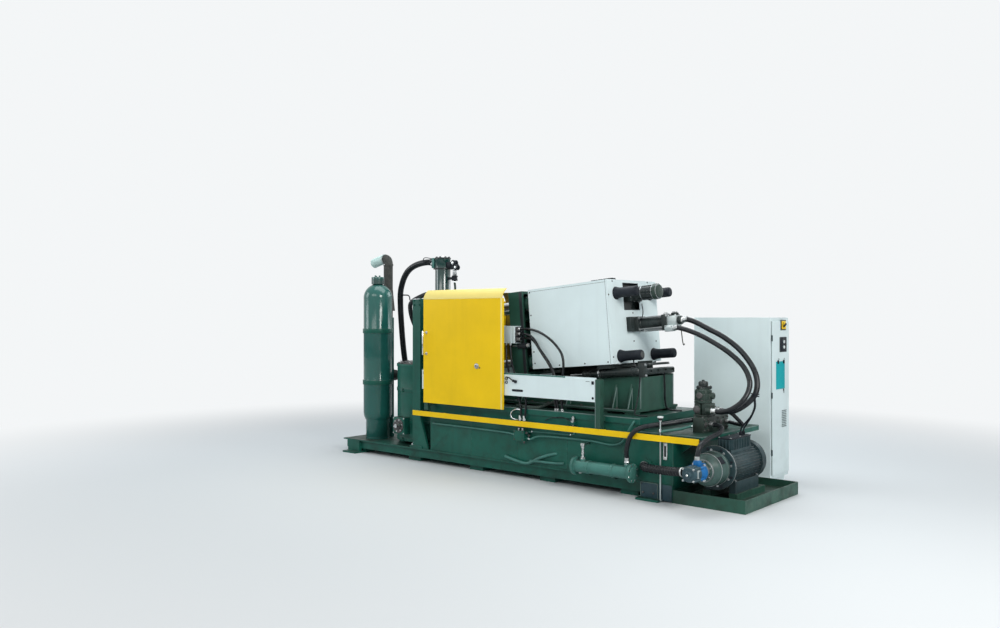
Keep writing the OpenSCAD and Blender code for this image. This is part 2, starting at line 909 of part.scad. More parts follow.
// Bow handle at the door's left edge.
module door_handle() {
  hx = door_x0 + 50;
  bow_d = 16;
  leg_d = 13;
  color(chrome_c) {
    for (z = [1290, 1530])
      translate([hx, 0, z])
        rod_y(leg_d, -door_y - 60, -door_y);
    translate([hx, -door_y - 60, 1276])
      cylinder(d = bow_d, h = 268);
  }
}

module front_door() {
  door_sheet();
}

module front_handle() {
  door_handle();
}

module rear_door() {
  mirror([0, 1, 0])
    door_sheet();
}

module rear_handle() {
  mirror([0, 1, 0])
    door_handle();
}

module rail_beams() {
  color(cream)
    both_sides()
      difference() {
        union() {
          box([-150, -beam_y, beam_z0], [post_x, -beam_y + 40, beam_z1]);
          box([-150, rail_y - 4, beam_z1 - 1], [post_x, rail_y + 4, beam_z1 + rail_h]);
        }
        box([-144, -beam_y + 4, beam_z0 - 1], [post_x - 6, -beam_y + 36, beam_z1 - 4]);
      }
}

module rail_posts() {
  color(light_green)
    both_sides() {
      box([post_x, -beam_y, 630], [post_x + 60, -beam_y + 60, beam_z1]);
      box([post_x, -beam_y + 59, 700], [post_x + 60, -base_half - 10, 745]);
      box([-120, -beam_y + 4, 640], [-60, -beam_y + 36, beam_z1 - 4]);
      box([-120, -beam_y + 35, 700], [-60, -base_half - 10, 745]);
    }
}

module front_rail() {
  strip_y = tank_y - 108;
  color(yellow) {
    box([-300, strip_y - 8, 568], [3370, strip_y, 625]);
    for (x = [100, 1200, 2275, 2990])
      box([x, strip_y - 1, 580], [x + 40, tank_y, 612]);
  }
}

module valve_stack() {
  color(green) {
    box([3130, -350, shelf_z], [3236, 150, stack_z]);
    translate([stack_x, stack_y, stack_z]) {
      box([-75, -75, -1], [60, 75, 16]);
      box([-70, -70, 15], [-10, 20, 125]);
      box([0, -60, 15], [80, 60, 125]);
      translate([-40, -85, 65])
        rod_y(70, 0, 20);
      translate([-12, 0, 124])
        cylinder(d = 170, h = 22);
      translate([-12, 0, 145])
        cylinder(d = 150, h = 105);
      translate([30, -10, 190])
        rod_x(64, 0, 62);
      translate([-12, -90, 195])
        rod_y(60, 0, 30);
      translate([-12, 0, 249])
        cylinder(d = 122, h = 26);
      translate([-12, 0, 262])
        rod_x(34, -62, 74);
      translate([-12, 0, 274])
        cylinder(d = 84, h = 52);
      translate([-12, 0, 325])
        cylinder(d = 30, h = 14);
      translate([0, 0, 60])
        rod_x(70, 79, 112);
      translate([0, -75, 60])
        rod_x(60, 60, 112);
      translate([0, 75, 60])
        rod_x(60, 60, 112);
    }
  }
}

module oil_cooler() {
  x0 = 2020;
  x1 = 2690;
  color(light_green) {
    translate([0, cooler_y, cooler_z]) {
      rod_x(120, x0 + 20, x1 - 20);
      rod_x(180, x0, x0 + 22);
      rod_x(180, x1 - 22, x1);
      for (x = [x0 + 170, x0 + 450])
        rod_x(130, x, x + 14);
      translate([2118, 0, 50])
        cylinder(d = 34, h = 40);
      translate([2623, 0, 50])
        cylinder(d = 40, h = 50);
    }
    for (x = [2180, 2480])
      difference() {
        box([x, cooler_y, base_h], [x + 14, tank_y, cooler_z + 20]);
        translate([0, cooler_y, cooler_z])
          rod_x(118, x - 1, x + 15);
      }
  }
}

module suction_hose() {
  color(black)
    hose([[2770, -port_y, 313], [2770, tank_y - 50, 313], [2798, tank_y - 78, 311],
      [2870, tank_y - 96, 309], [3028, tank_y - 130, 314], [3190, -768, 332], [motor_x - 120, -790, 341],
      [motor_x - 86, -790, 341]], 84, [0, 0, 1], 4, 12);
}

module pump() {
  color(blue)
    translate([motor_x, 0, motor_z]) {
      box([-66, -930, -80], [60, -700, 84]);
      rod_y(150, -700, -655);
      rod_y(60, -945, -929);
      translate([0, -790, -4])
        rod_x(100, -86, -65);
      translate([0, -750, 83])
        cylinder(d = 60, h = 20);
    }
}

module bell_housing() {
  color(light_green)
    translate([motor_x, 0, motor_z])
      difference() {
        union() {
          translate([0, -655, 0])
            rotate([-90, 0, 0])
              cylinder(d1 = 190, d2 = 300, h = 200);
          rod_y(310, -456, -430);
        }
        rod_y(110, -656, -429);
      }
}

module pump_motor() {
  fins = 40;
  color(green) {
    translate([motor_x, 0, motor_z]) {
      rod_y(398, -430, -405);
      rod_y(326, -406, 180);
      for (a = [0 : 360 / fins : 359])
        rotate([0, a, 0])
          box([160, -395, -2], [174, 178, 2]);
      rod_y(368, 179, 260);
      box([-16, -330, 118], [112, 70, 255]);
      rod_y(48, -560, -429);
    }
    for (x = [motor_x - 150, motor_x + 90])
      box([x, -320, tray_h - 8], [x + 60, 160, 220]);
  }
}

module clamp_hoses() {
  color(black) {
    hose([[2839.5, 0, 1678.5], [2879.5, 0, 1682], [2970, 0, 1656], [3110, 0, 1590], [3268, 0, 1513],
      [3440, -20, 1397], [3568, -40, 1253], [3630, -70, 1128], [3635, -110, 1010], [3580, -160, 920],
      [3480, -190, 850], [3390, -200, 834], [3310, -200, 835], [3282, -200, 835]], 60);
    hose([[2786.5, -90, 1598.5], [2826.5, -90, 1602], [2960, -90, 1568], [3113, -92, 1504],
      [3329, -100, 1377], [3480, -125, 1250], [3555, -160, 1130], [3565, -200, 1030], [3540, -270, 930],
      [3460, -285, 860], [3380, -277, 834], [3310, -275, 835], [3282, -275, 835]], 54);
  }
}

module valve_hoses() {
  color(black) {
    hose([[3130, -320, 745], [3112, -320, 745], [3060, -390, 736], [2990, -490, 722],
      [2877, -600, 702], [2790, cooler_y + 20, 682], [2735, cooler_y - 27, 652],
      [2690, cooler_y - 38, 600], [2662, cooler_y - 40, 540], [2645, cooler_y - 38, 470],
      [2629, cooler_y - 20, 420], [2623, cooler_y, 385], [2623, cooler_y, 345]], 40, [0, 1, 0]);
    hose([[motor_x, -750, 448], [motor_x, -750, 490], [3400, -715, 575], [3404, -560, 625],
      [3425, -400, 660], [3395, -300, 695], [3310, -232, 705], [3270, -230, 705],
      [3236, -230, 705]], 44, [1, 1, 0]);
    hose([[3282, -125, 835], [3310, -125, 835], [3400, -120, 812], [3452, -60, 740], [3440, 30, 695],
      [3370, 85, 688], [3275, 100, 700], [3236, 100, 700]], 36, [0, 0, 1]);
    hose([[1380, tank_y - 48, 440], [1415, tank_y - 48, 440], [1520, tank_y - 40, 476],
      [1777, tank_y - 28, 487], [2145, tank_y - 26, 488], [2380, tank_y - 26, 474],
      [2500, tank_y - 32, 500], [2560, tank_y - 44, 560], [2610, tank_y - 52, 640],
      [2645, tank_y - 48, 695], [2650, tank_y - 36, 715], [2650, tank_y - 18, 715]], 24, [0, 0, 1]);
    hose([[1210, tank_y - 48, 470], [1180, tank_y - 48, 470], [1060, tank_y - 30, 476],
      [700, tank_y - 24, 480], [300, tank_y - 24, 482], [-20, tank_y - 26, 483], [-52, tank_y - 20, 483],
      [-60, tank_y - 8, 483], [-60, tank_y, 483]], 24, [0, 0, 1]);
  }
}

module shot_hoses() {
  color(black) {
    hose([[-602, 0, 2375], [-640, 0, 2375], [-720, -12, 2392], [-840, -25, 2385], [-970, -30, 2355],
      [-1080, -30, 2300], [-1170, -20, 2215], [-1240, 0, 2115], [-1286, 20, 2020], [-1310, 40, 1900],
      [-1320, 60, 1700], [-1340, 120, 1300], [-1378, 240, 800], [-1388, 290, 560], [-1390, 300, 440],
      [-1390, 300, 388]], 76, [0, 1, 0], 3, 12);
    hose([[-602, -40, 1997], [-640, -40, 1997], [-710, -70, 1990], [-795, -120, 1950],
      [-880, -150, 1900], [-930, -140, 1830], [-960, -60, 1650], [-1010, 200, 1300], [-1130, 420, 900],
      [-1200, 400, 600], [-1225, 350, 380], [-1245, 308, 270], [-1275, 300, 230], [-1310, 300, 230]],
      56, [0, 1, 0]);
  }
}

module platen_hoses() {
  color(black) {
    hose([[1160, -510, 1575], [1185, -510, 1575], [1346, -540, 1575], [1503, -565, 1540],
      [1662, -585, 1460], [1784, -600, 1352], [1822, -605, 1252], [1815, -605, 1110], [1790, -600, 950],
      [1782, tank_y - 10, 860], [1780, tank_y + 4, 790], [1780, tank_y + 4, deck_z]], 26, [0, 1, 0]);
    hose([[1160, -510, 1525], [1185, -510, 1525], [1280, -535, 1522], [1386, -550, 1486],
      [1503, -570, 1364], [1623, -590, 1245], [1700, -600, 1130], [1730, -600, 980],
      [1726, tank_y - 10, 860], [1725, tank_y + 4, 790], [1725, tank_y + 4, deck_z]], 24, [0, 1, 0]);
    hose([[1160, -510, 1470], [1185, -510, 1470], [1275, -518, 1483], [1374, -524, 1454],
      [1490, -543, 1337], [1606, -563, 1218], [1680, -576, 1110], [1702, -588, 980],
      [1698, tank_y - 10, 860], [1696, tank_y + 4, 790], [1696, tank_y + 4, deck_z]], 24, [0, 1, 0]);
    hose([[1000, -530, 1424], [1000, -530, 1380], [1040, -560, 1200], [1150, -600, 990],
      [1240, -606, 850], [1268, tank_y - 36, 700], [1250, tank_y - 42, 590], [1250, tank_y - 44, 550],
      [1250, tank_y - 44, 520]], 20, [0, 1, 0]);
    hose([[1060, -530, 1424], [1060, -530, 1380], [1110, -560, 1200], [1240, -600, 990],
      [1330, -606, 850], [1330, tank_y - 36, 700], [1304, tank_y - 42, 590], [1300, tank_y - 44, 550],
      [1300, tank_y - 44, 520]], 20, [0, 1, 0]);
  }
}

module level_gauge() {
  color(white) {
    box([2955, tank_y - 14, 390], [2991, tank_y, 545]);
    for (z = [404, 531])
      translate([2973, 0, z])
        rod_y(20, tank_y - 24, tank_y - 13);
  }
}

module front_fittings() {
  cool_x = 2118;
  color(light_green) {
    box([1210, tank_y - 88, 412], [1350, tank_y, 520]);
    translate([0, tank_y - 48, 440])
      rod_x(36, 1349, 1380);
    box([1926, tank_y - 50, 630], [1966, tank_y, 660]);
  }
  color(chrome_c) {
    translate([1946, tank_y - 34, 600])
      cylinder(d = 26, h = 31);
    translate([1946, tank_y - 34, 659])
      cylinder(d = 26, h = 60);
    translate([cool_x, cooler_y, cooler_z + 90])
      cylinder(d = 22, h = 139);
    translate([cool_x, cooler_y, cooler_z + 200])
      cylinder(d = 44, h = 30);
    translate([cool_x, cooler_y + 4, cooler_z + 215])
      rod_y(22, 0, tank_y - cooler_y - 4);
  }
}

module control_cabinet() {
  x1 = cab_x0 + cab_w;
  y1 = cab_y0 + cab_d;
  color(cream)
    difference() {
      union() {
        box([cab_x0, cab_y0, 60], [x1, y1, cab_h]);
        box([cab_x0 + 30, cab_y0 + 30, 0], [x1 - 30, y1 - 30, 61]);
        box([x1 - 1, cab_y0 + 25, 100], [x1 + 18, y1 - 25, cab_h - 40]);
        box([2640, tank_half, 300], [2800, cab_y0 + 1, 400]);
      }
      for (z = [570 : 18 : 732])
        box([x1 + 8, 1032, z], [x1 + 19, 1146, z + 8]);
    }
}

module cabinet_fittings() {
  x1 = cab_x0 + cab_w + 18;
  color(black) {
    difference() {
      box([x1, 1007, 1345], [x1 + 10, 1172, 1499]);
      box([x1 + 8, 1022, 1360], [x1 + 11, 1157, 1484]);
    }
    for (z = [1395, 1450])
      translate([0, 1090, z])
        rod_x(34, x1 + 7, x1 + 26);
    box([x1, 1024, 1572], [x1 + 14, 1084, 1672]);
    for (y = [945, 1085])
      box([x1 + 9, y, 1228], [x1 + 22, y + 30, 1262]);
  }
  color(teal)
    box([x1, 920, 967], [x1 + 9, 1133, 1250]);
}

base_frame();
oil_tank();
motor_tray();
furnace();
melt_pot();
gooseneck();
shot_bridge();
shot_cylinder();
accumulator();
flue_stub();
clamp_bed();
slide_ways();
fixed_platen();
moving_platen();
core_valve_box();
rear_platen();
toggle_lugs();
toggle_links();
tie_bars();
tie_bar_caps();
clamp_hood();
lubrication_block();
clamp_cylinder();
height_motor();
front_door();
front_handle();
rear_door();
rear_handle();
rail_beams();
rail_posts();
front_rail();
valve_stack();
oil_cooler();
suction_hose();
pump();
bell_housing();
pump_motor();
clamp_hoses();
valve_hoses();
shot_hoses();
platen_hoses();
level_gauge();
front_fittings();
control_cabinet();
cabinet_fittings();
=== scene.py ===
# %% [markdown]
# # A die casting machine, dressed around its CAD frame
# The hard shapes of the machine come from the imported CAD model. Each cell below adds what a plain
# solid can't show: worn enamel, hoses with crimped ends, bolts, gauges, cables and oily dirt.

# %% Load the frame
import json
import math
import random
from contextlib import contextmanager
from itertools import product

import bmesh
import bpy
from mathutils import Matrix, Vector


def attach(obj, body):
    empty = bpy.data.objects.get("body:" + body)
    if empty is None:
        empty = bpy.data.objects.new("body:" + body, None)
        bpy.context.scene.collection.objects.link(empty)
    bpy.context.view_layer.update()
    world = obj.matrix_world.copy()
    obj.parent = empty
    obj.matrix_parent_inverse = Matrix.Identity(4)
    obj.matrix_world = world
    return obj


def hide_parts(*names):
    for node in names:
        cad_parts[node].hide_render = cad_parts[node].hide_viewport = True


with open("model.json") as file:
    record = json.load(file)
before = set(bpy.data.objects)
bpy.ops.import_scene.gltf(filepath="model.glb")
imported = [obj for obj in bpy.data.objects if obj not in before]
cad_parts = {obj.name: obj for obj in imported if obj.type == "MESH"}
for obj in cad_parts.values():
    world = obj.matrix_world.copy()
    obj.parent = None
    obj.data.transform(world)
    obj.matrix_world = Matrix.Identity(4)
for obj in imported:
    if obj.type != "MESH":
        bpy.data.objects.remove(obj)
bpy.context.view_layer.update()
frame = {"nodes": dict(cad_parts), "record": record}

scene = bpy.context.scene

# %% [markdown]
# ## Camera
# The photograph was taken at eye height, level, from the operator's side near the clamp end. A small
# upward shift stands for the crop of the picture, so the uprights stay parallel.

# %% Camera
def put(name, data, at=(0, 0, 0), look=None):
    """Links a new object into the scene at a point, turned to look along a direction."""
    thing = bpy.data.objects.new(name, data)
    scene.collection.objects.link(thing)
    thing.location = at
    if look:
        thing.rotation_euler = Vector(look).to_track_quat("-Z", "Y").to_euler()
    return thing


lens = bpy.data.cameras.new("shop_camera")
lens.lens, lens.sensor_width = 30.78, 36.0
lens.shift_y = 3.5 / 1000
lens.clip_end = 60
heading = math.radians(41.1)
scene.camera = put("shop_camera", lens, (7.0, -7.51, 1.70), (-math.sin(heading), math.cos(heading), 0))
print("camera at", tuple(round(c, 2) for c in scene.camera.location))

# %% [markdown]
# ## Floor and light
# A pale floor and large soft lamps show the paint as it is. The background is white to the camera,
# in mirrors and through glass, and dimmer as a light, so little extra light falls on the machine. The
# lamps stand high on the operator's side and behind, as the hall's roof lights do.

# %% Floor, world and lamps
PAPER = {"Color": (0.95, 0.97, 0.98, 1), "Strength": 0.95}
WARM, COOL = (1.0, 0.985, 0.96), (0.92, 0.97, 1.0)


def node_tree(owner):
    owner.use_nodes = True
    owner.node_tree.nodes.clear()
    return owner.node_tree


def add(tree, kind, inputs=(), **settings):
    """Adds a shader node, makes its settings and gives each input its value or its link."""
    node = tree.nodes.new("ShaderNode" + kind)
    for setting, value in settings.items():
        setattr(node, setting, value)
    for socket, value in dict(inputs).items():
        if isinstance(value, bpy.types.NodeSocket):
            tree.links.new(value, node.inputs[socket])
        else:
            node.inputs[socket].default_value = value
    return node


def light_the_room():
    scene.world = scene.world or bpy.data.worlds.new("room")
    tree = node_tree(scene.world)
    path = add(tree, "LightPath").outputs
    seen = path["Is Camera Ray"]
    for other in ("Is Glossy Ray", "Is Transmission Ray"):
        seen = add(tree, "Math", {0: seen, 1: path[other]}, operation="MAXIMUM").outputs[0]
    dim = add(tree, "Background", {"Color": (0.86, 0.94, 1.0, 1), "Strength": 0.42})
    white = add(tree, "Background", PAPER)
    mix = add(tree, "MixShader", {0: seen, 1: dim.outputs[0], 2: white.outputs[0]})
    add(tree, "OutputWorld", {"Surface": mix.outputs[0]})
    for name, at, aim, size, watts, tint in (
        ("key", (8.2, -3.0, 4.4), (1.6, -0.2, 1.1), (3.0, 2.2), 320, WARM),
        ("front", (1.0, -7.0, 4.6), (0.6, -0.4, 0.9), (5.0, 2.0), 115, WARM),
        ("roof", (0.6, 0.4, 5.6), (0.8, 0.0, 1.0), (6.0, 3.0), 210, COOL),
        ("left", (-5.5, -4.5, 3.6), (0.0, -0.2, 1.0), (2.6, 2.6), 90, COOL),
        ("back", (1.5, 6.5, 4.2), (0.8, 0.2, 1.2), (5.0, 2.6), 150, (0.90, 0.96, 1.0)),
    ):
        data = bpy.data.lights.new(name, "AREA")
        data.shape, data.size, data.size_y = "RECTANGLE", *size
        data.energy, data.color = watts, tint
        put(name, data, at, Vector(aim) - Vector(at))


def lay_floor():
    bm = bmesh.new()
    bmesh.ops.create_grid(bm, x_segments=1, y_segments=1, size=30)
    mesh = bpy.data.meshes.new("studio_floor")
    bm.to_mesh(mesh)
    bm.free()
    stuff = bpy.data.materials.new("pale_floor")
    tree = node_tree(stuff)
    plain = add(tree, "BsdfPrincipled", {"Base Color": (0.60, 0.62, 0.63, 1), "Roughness": 0.8})
    glow = add(tree, "Emission", PAPER)
    spot = add(tree, "TexCoord").outputs["Object"]
    reach = add(tree, "VectorMath", {0: spot, 1: (1.0, 0.0, 0.0)}, operation="DISTANCE").outputs["Value"]
    far = add(tree, "MapRange", {"Value": reach, "From Min": 3.6, "From Max": 9.0},
              interpolation_type="SMOOTHSTEP")
    seen = add(tree, "Math", {0: far.outputs["Result"], 1: add(tree, "LightPath").outputs["Is Camera Ray"]},
               operation="MULTIPLY")
    mix = add(tree, "MixShader", {0: seen.outputs[0], 1: plain.outputs[0], 2: glow.outputs[0]})
    add(tree, "OutputMaterial", {"Surface": mix.outputs[0]})
    mesh.materials.append(stuff)
    put("studio_floor", mesh)


scene.view_settings.view_transform = "Standard"
light_the_room()
lay_floor()

# %% [markdown]
# ## Enamel
# The machine is brushed or sprayed with thick oil-proof enamel. It isn't one colour: it fades, oil
# films darken it from the ground up, drips run down it, and it chips along edges to grey primer.
# One recipe makes every paint here. Noise on Object coordinates gives the patches and the drips,
# and the Bevel node finds edges for the chips, because CAD meshes have no shared points to read.

# %% Enamel recipe
def object_noise(tree, scale, stretch=(1, 1, 1), detail=4.0, rough=0.55):
    place = add(tree, "TexCoord").outputs["Object"]
    lay = add(tree, "Mapping", {"Vector": place, "Scale": stretch}).outputs[0]
    grain = {"Vector": lay, "Scale": scale, "Detail": detail, "Roughness": rough}
    return add(tree, "TexNoise", grain).outputs["Fac"]


def remap(tree, value, low, high, to_low=0.0, to_high=1.0):
    reach = {"Value": value, "From Min": low, "From Max": high, "To Min": to_low, "To Max": to_high}
    return add(tree, "MapRange", reach).outputs["Result"]


def patches(tree, scale, low, high, to_low=0.0, to_high=1.0, **noise):
    return remap(tree, object_noise(tree, scale, **noise), low, high, to_low, to_high)


def calc(tree, how, a, b, clamp=True):
    return add(tree, "Math", {0: a, 1: b}, operation=how, use_clamp=clamp).outputs[0]


def mix_color(tree, share, *colors):
    a, b = ((*c, 1) if isinstance(c, tuple) else c for c in colors)
    return add(tree, "Mix", {"Factor": share, 6: a, 7: b}, data_type="RGBA").outputs[2]


def along(tree, vector, axis):
    return add(tree, "SeparateXYZ", {0: vector}).outputs[axis]


def edge_mask(tree):
    """1 on edges that stick out or fold in, 0 on flat faces, broken up by noise."""
    rounded = add(tree, "Bevel", {"Radius": 0.004}, samples=4).outputs[0]
    flat = add(tree, "NewGeometry").outputs["True Normal"]
    same = add(tree, "VectorMath", {0: rounded, 1: flat}, operation="DOT_PRODUCT").outputs["Value"]
    bend = remap(tree, calc(tree, "SUBTRACT", 1.0, same), 0.02, 0.30)
    return calc(tree, "MULTIPLY", bend, patches(tree, 26, 0.42, 0.62, detail=6))


def oil_on_tops(tree):
    """1 where oil lies on faces that look up, broken up by noise."""
    upward = along(tree, add(tree, "NewGeometry").outputs["Normal"], "Z")
    return calc(tree, "MULTIPLY", remap(tree, upward, 0.8, 0.98),
                patches(tree, 3.1, 0.30, 0.56, 0.45, 1, detail=6))


def inner_faces(tree):
    """1 on faces that look at the machine's middle plane, where the die's spray lands."""
    faces_y = along(tree, add(tree, "NewGeometry").outputs["True Normal"], "Y")
    stands_y = along(tree, add(tree, "TexCoord").outputs["Object"], "Y")
    toward = remap(tree, calc(tree, "MULTIPLY", faces_y, stands_y, clamp=False), -0.1, -0.4)
    return calc(tree, "MULTIPLY", toward, patches(tree, 4, 0.3, 0.5, 0.7, 1, detail=6))


def coat(tree, grain, depth, strength, **shader):
    """Adds the main shader over a fine bump and joins it to the output."""
    bump = add(tree, "Bump", {"Height": grain, "Distance": depth, "Strength": strength})
    inputs = {name.replace("_", " "): value for name, value in shader.items()}
    main = add(tree, "BsdfPrincipled", {"Normal": bump.outputs[0], **inputs})
    add(tree, "OutputMaterial", {"Surface": main.outputs[0]})


def enamel(name, color, shade=0.72, oil=0.5, oil_color=(0.012, 0.013, 0.010), chips=0.6,
           primer=(0.20, 0.21, 0.20), rough=0.34, drips=0.5, grime_top=1.1, mirror=0.25,
           pool=0.75, inside=0.0):
    stuff = bpy.data.materials.new(name)
    tree = node_tree(stuff)
    base = mix_color(tree, patches(tree, 2.3, 0.32, 0.68, detail=5), tuple(c * shade for c in color), color)
    streak = patches(tree, 9, 0.52, 0.74, 0, drips, stretch=(1, 1, 0.07), detail=3)
    height = along(tree, add(tree, "TexCoord").outputs["Object"], "Z")
    film = calc(tree, "MULTIPLY", patches(tree, 5.5, 0.44, 0.66, detail=7, rough=0.65),
                remap(tree, height, grime_top, -0.1))
    oily = calc(tree, "MULTIPLY", calc(tree, "MAXIMUM", streak, film), oil)
    oily = calc(tree, "MAXIMUM", oily, calc(tree, "MULTIPLY", oil_on_tops(tree), pool))
    if inside:
        oily = calc(tree, "MAXIMUM", oily, calc(tree, "MULTIPLY", inner_faces(tree), inside))
    base = mix_color(tree, oily, base, oil_color)
    base = mix_color(tree, calc(tree, "MULTIPLY", edge_mask(tree), chips), base, primer)
    gloss = calc(tree, "ADD", patches(tree, 14, 0.3, 0.7, rough - 0.07, rough + 0.12, detail=5),
                 calc(tree, "MULTIPLY", oily, 0.22))
    coat(tree, object_noise(tree, 240, detail=2), 0.0006, 0.25,
         Base_Color=base, Roughness=gloss, Specular_IOR_Level=mirror)
    return stuff


PAINT = {
    "green_paint": enamel("machine_green", (0.009, 0.108, 0.078), oil=0.55),
    "bed_green": enamel("bed_green", (0.028, 0.098, 0.070), oil=0.6, oil_color=(0.016, 0.020, 0.014),
                        grime_top=1.6),
    "slate_paint": enamel("slate_paint", (0.040, 0.085, 0.105), oil=0.4, primer=(0.26, 0.32, 0.34)),
    # Paler yellow for the guards' leaning lip and leading edge: a painted highlight where they catch the
    # light.
    "pale_yellow": enamel("painted_highlight_yellow", (0.82, 0.67, 0.20), shade=0.95, oil=0.1, chips=0.0, drips=0.2,
                          rough=0.42, pool=0.05, inside=0.9),
    "light_green_paint": enamel("grey_green", (0.058, 0.195, 0.165), oil=0.5),
    "cream_paint": enamel("cream_sheet", (0.70, 0.81, 0.82), shade=0.93, oil=0.12, chips=0.25, drips=0.35,
                          oil_color=(0.16, 0.15, 0.12), primer=(0.30, 0.31, 0.30), rough=0.38, mirror=0.4,
                          pool=0.12),
    "yellow_paint": enamel("safety_yellow", (0.88, 0.57, 0.004), shade=0.90, oil=0.16, chips=0.35, drips=0.3,
                           oil_color=(0.05, 0.032, 0.012), primer=(0.24, 0.24, 0.22), rough=0.36,
                           mirror=0.2, pool=0.1, inside=0.9),
    # Lighter grey-green for thin strips along edges: a painted highlight where the edges catch the light.
    "worn_edge": enamel("worn_edge", (0.15, 0.225, 0.21), oil=0.4, chips=0.2, pool=0.1),
    "black_paint": enamel("satin_black", (0.022, 0.027, 0.032), oil=0.3, primer=(0.12, 0.13, 0.13),
                          rough=0.38),
    "oily_green": enamel("oily_green", (0.040, 0.068, 0.056), shade=0.55, oil=0.85, chips=0.8,
                         primer=(0.30, 0.31, 0.30), rough=0.30, grime_top=4.0),
    "oily_black": enamel("oily_black", (0.026, 0.036, 0.036), shade=0.55, oil=0.7, chips=0.8,
                         primer=(0.26, 0.27, 0.27), rough=0.26, grime_top=4.0),
    "cover_green": enamel("cover_green", (0.072, 0.135, 0.122), shade=0.6, oil=0.7, chips=0.9,
                          primer=(0.36, 0.37, 0.36), rough=0.34, grime_top=4.0),
    "motor_grey": enamel("motor_grey", (0.028, 0.060, 0.068), shade=0.6, oil=0.6, chips=0.7,
                         primer=(0.24, 0.25, 0.25), rough=0.40, grime_top=0.9),
    "gloss_green": enamel("gloss_green", (0.014, 0.112, 0.094), shade=0.8, oil=0.35, chips=0.5, drips=0.2,
                          rough=0.12, grime_top=0.6, mirror=0.5),
    "deep_green": enamel("deep_gloss_green", (0.006, 0.052, 0.044), oil=0.45, chips=0.5, rough=0.10,
                         grime_top=0.6, mirror=0.8),
    "blue_paint": enamel("pump_blue", (0.012, 0.17, 0.46), oil=0.4, primer=(0.25, 0.27, 0.28), rough=0.32),
}
print("paints:", ", ".join(sorted(m.name for m in PAINT.values())))

# %% [markdown]
# ## Bare metal, rubber and plastic
# Machined steel is brushed along one way and holds an oil film, chrome is nearly a mirror, hose
# rubber is dull with a fine grain and a little dust, and heat has turned the exhaust pipe dark.

# %% Metals
def metal(name, color, rough, brushed=(1, 1, 1), stain=0.35, scale=60, depth=0.0002):
    stuff = bpy.data.materials.new(name)
    tree = node_tree(stuff)
    grain = object_noise(tree, scale, stretch=brushed, detail=5)
    dull = patches(tree, 4.5, 0.45, 0.70, 0, stain, detail=6)
    base = mix_color(tree, remap(tree, grain, 0.3, 0.7), tuple(c * 0.86 for c in color), color)
    gloss = calc(tree, "ADD", remap(tree, grain, 0.3, 0.7, rough * 0.75, rough * 1.25),
                 calc(tree, "MULTIPLY", dull, 0.4))
    coat(tree, grain, depth, 0.3, Metallic=1.0, Roughness=gloss,
         Base_Color=mix_color(tree, dull, base, (0.05, 0.045, 0.04)))
    return stuff


def moulded(name, color, rough, grain=0.0004, spread=0.75, scale=180, mirror=0.3):
    stuff = bpy.data.materials.new(name)
    tree = node_tree(stuff)
    dusty = tuple(c * spread + 0.005 for c in color)
    coat(tree, object_noise(tree, scale, detail=2), grain, 0.5, Specular_IOR_Level=mirror,
         Base_Color=mix_color(tree, patches(tree, 7, 0.46, 0.72, detail=6), color, dusty),
         Roughness=patches(tree, 20, 0.3, 0.7, rough - 0.08, rough + 0.12))
    return stuff


def scorched(name):
    stuff = bpy.data.materials.new(name)
    tree = node_tree(stuff)
    coarse = patches(tree, 11, 0.36, 0.64, detail=8, rough=0.7)
    fine = calc(tree, "MULTIPLY", patches(tree, 46, 0.42, 0.62, detail=5), 0.35)
    base = mix_color(tree, coarse, (0.012, 0.017, 0.016), (0.030, 0.034, 0.030))
    coat(tree, object_noise(tree, 70, detail=6), 0.001, 0.5, Roughness=remap(tree, coarse, 0, 1, 0.85, 0.62),
         Base_Color=mix_color(tree, fine, base, (0.070, 0.058, 0.046)))
    return stuff


BARE = {
    "bare_steel": metal("machined_steel", (0.46, 0.48, 0.49), 0.32, brushed=(0.2, 1, 1)),
    "chrome": metal("chrome_plate", (0.78, 0.80, 0.82), 0.10, stain=0.12, scale=30),
    "dark_iron": metal("cast_iron_dark", (0.13, 0.13, 0.13), 0.58, stain=0.6, scale=120, depth=0.0006),
    "zinc_plate": metal("zinc_plated", (0.60, 0.62, 0.62), 0.28, stain=0.2, scale=45),
    "hose_rubber": moulded("hose_rubber", (0.007, 0.009, 0.011), 0.30, spread=1.6, mirror=0.28),
    "black_plastic": moulded("black_plastic", (0.008, 0.011, 0.016), 0.50, spread=1.5, mirror=0.2),
    "gauge_white": moulded("gauge_white", (0.66, 0.70, 0.70), 0.25, grain=0.0001, spread=0.8),
    "rusty_duct": scorched("scorched_pipe"),
    "teal_plastic": moulded("teal_board", (0.001, 0.36, 0.40), 0.4, grain=0.0001, spread=0.9, mirror=0.1),
    "foil_duct": moulded("foil_duct", (0.50, 0.66, 0.63), 0.36, grain=0.001, spread=0.78, scale=60),
    "galvanised": metal("galvanised_sheet", (0.52, 0.58, 0.58), 0.42, stain=0.25, scale=18),
}
FINISH = {**PAINT, **BARE}
print("bare finishes:", ", ".join(sorted(m.name for m in BARE.values())))

# %% [markdown]
# ## Finish on the CAD solids
# Every CAD node gets its finish from the record's slot. A Weld joins the loose triangles, a planar
# Decimate turns them back into whole faces, and a fine Bevel breaks the sharp edges, as a file or a
# thick coat of paint does on a real casting.

# %% Paint the frame
OWN_FINISH = {"accumulator": "gloss_green", "pump_motor": "motor_grey", "clamp_bed": "bed_green",
              "slide_ways": "oily_black",
              "moving_platen": "bed_green", "motor_tray": "bed_green", "rail_posts": "bed_green",
              "rear_platen": "oily_black"}
SLOT_OF = {sub["node"]: sub["material_slot"] for sub in frame["record"]["subparts"]}


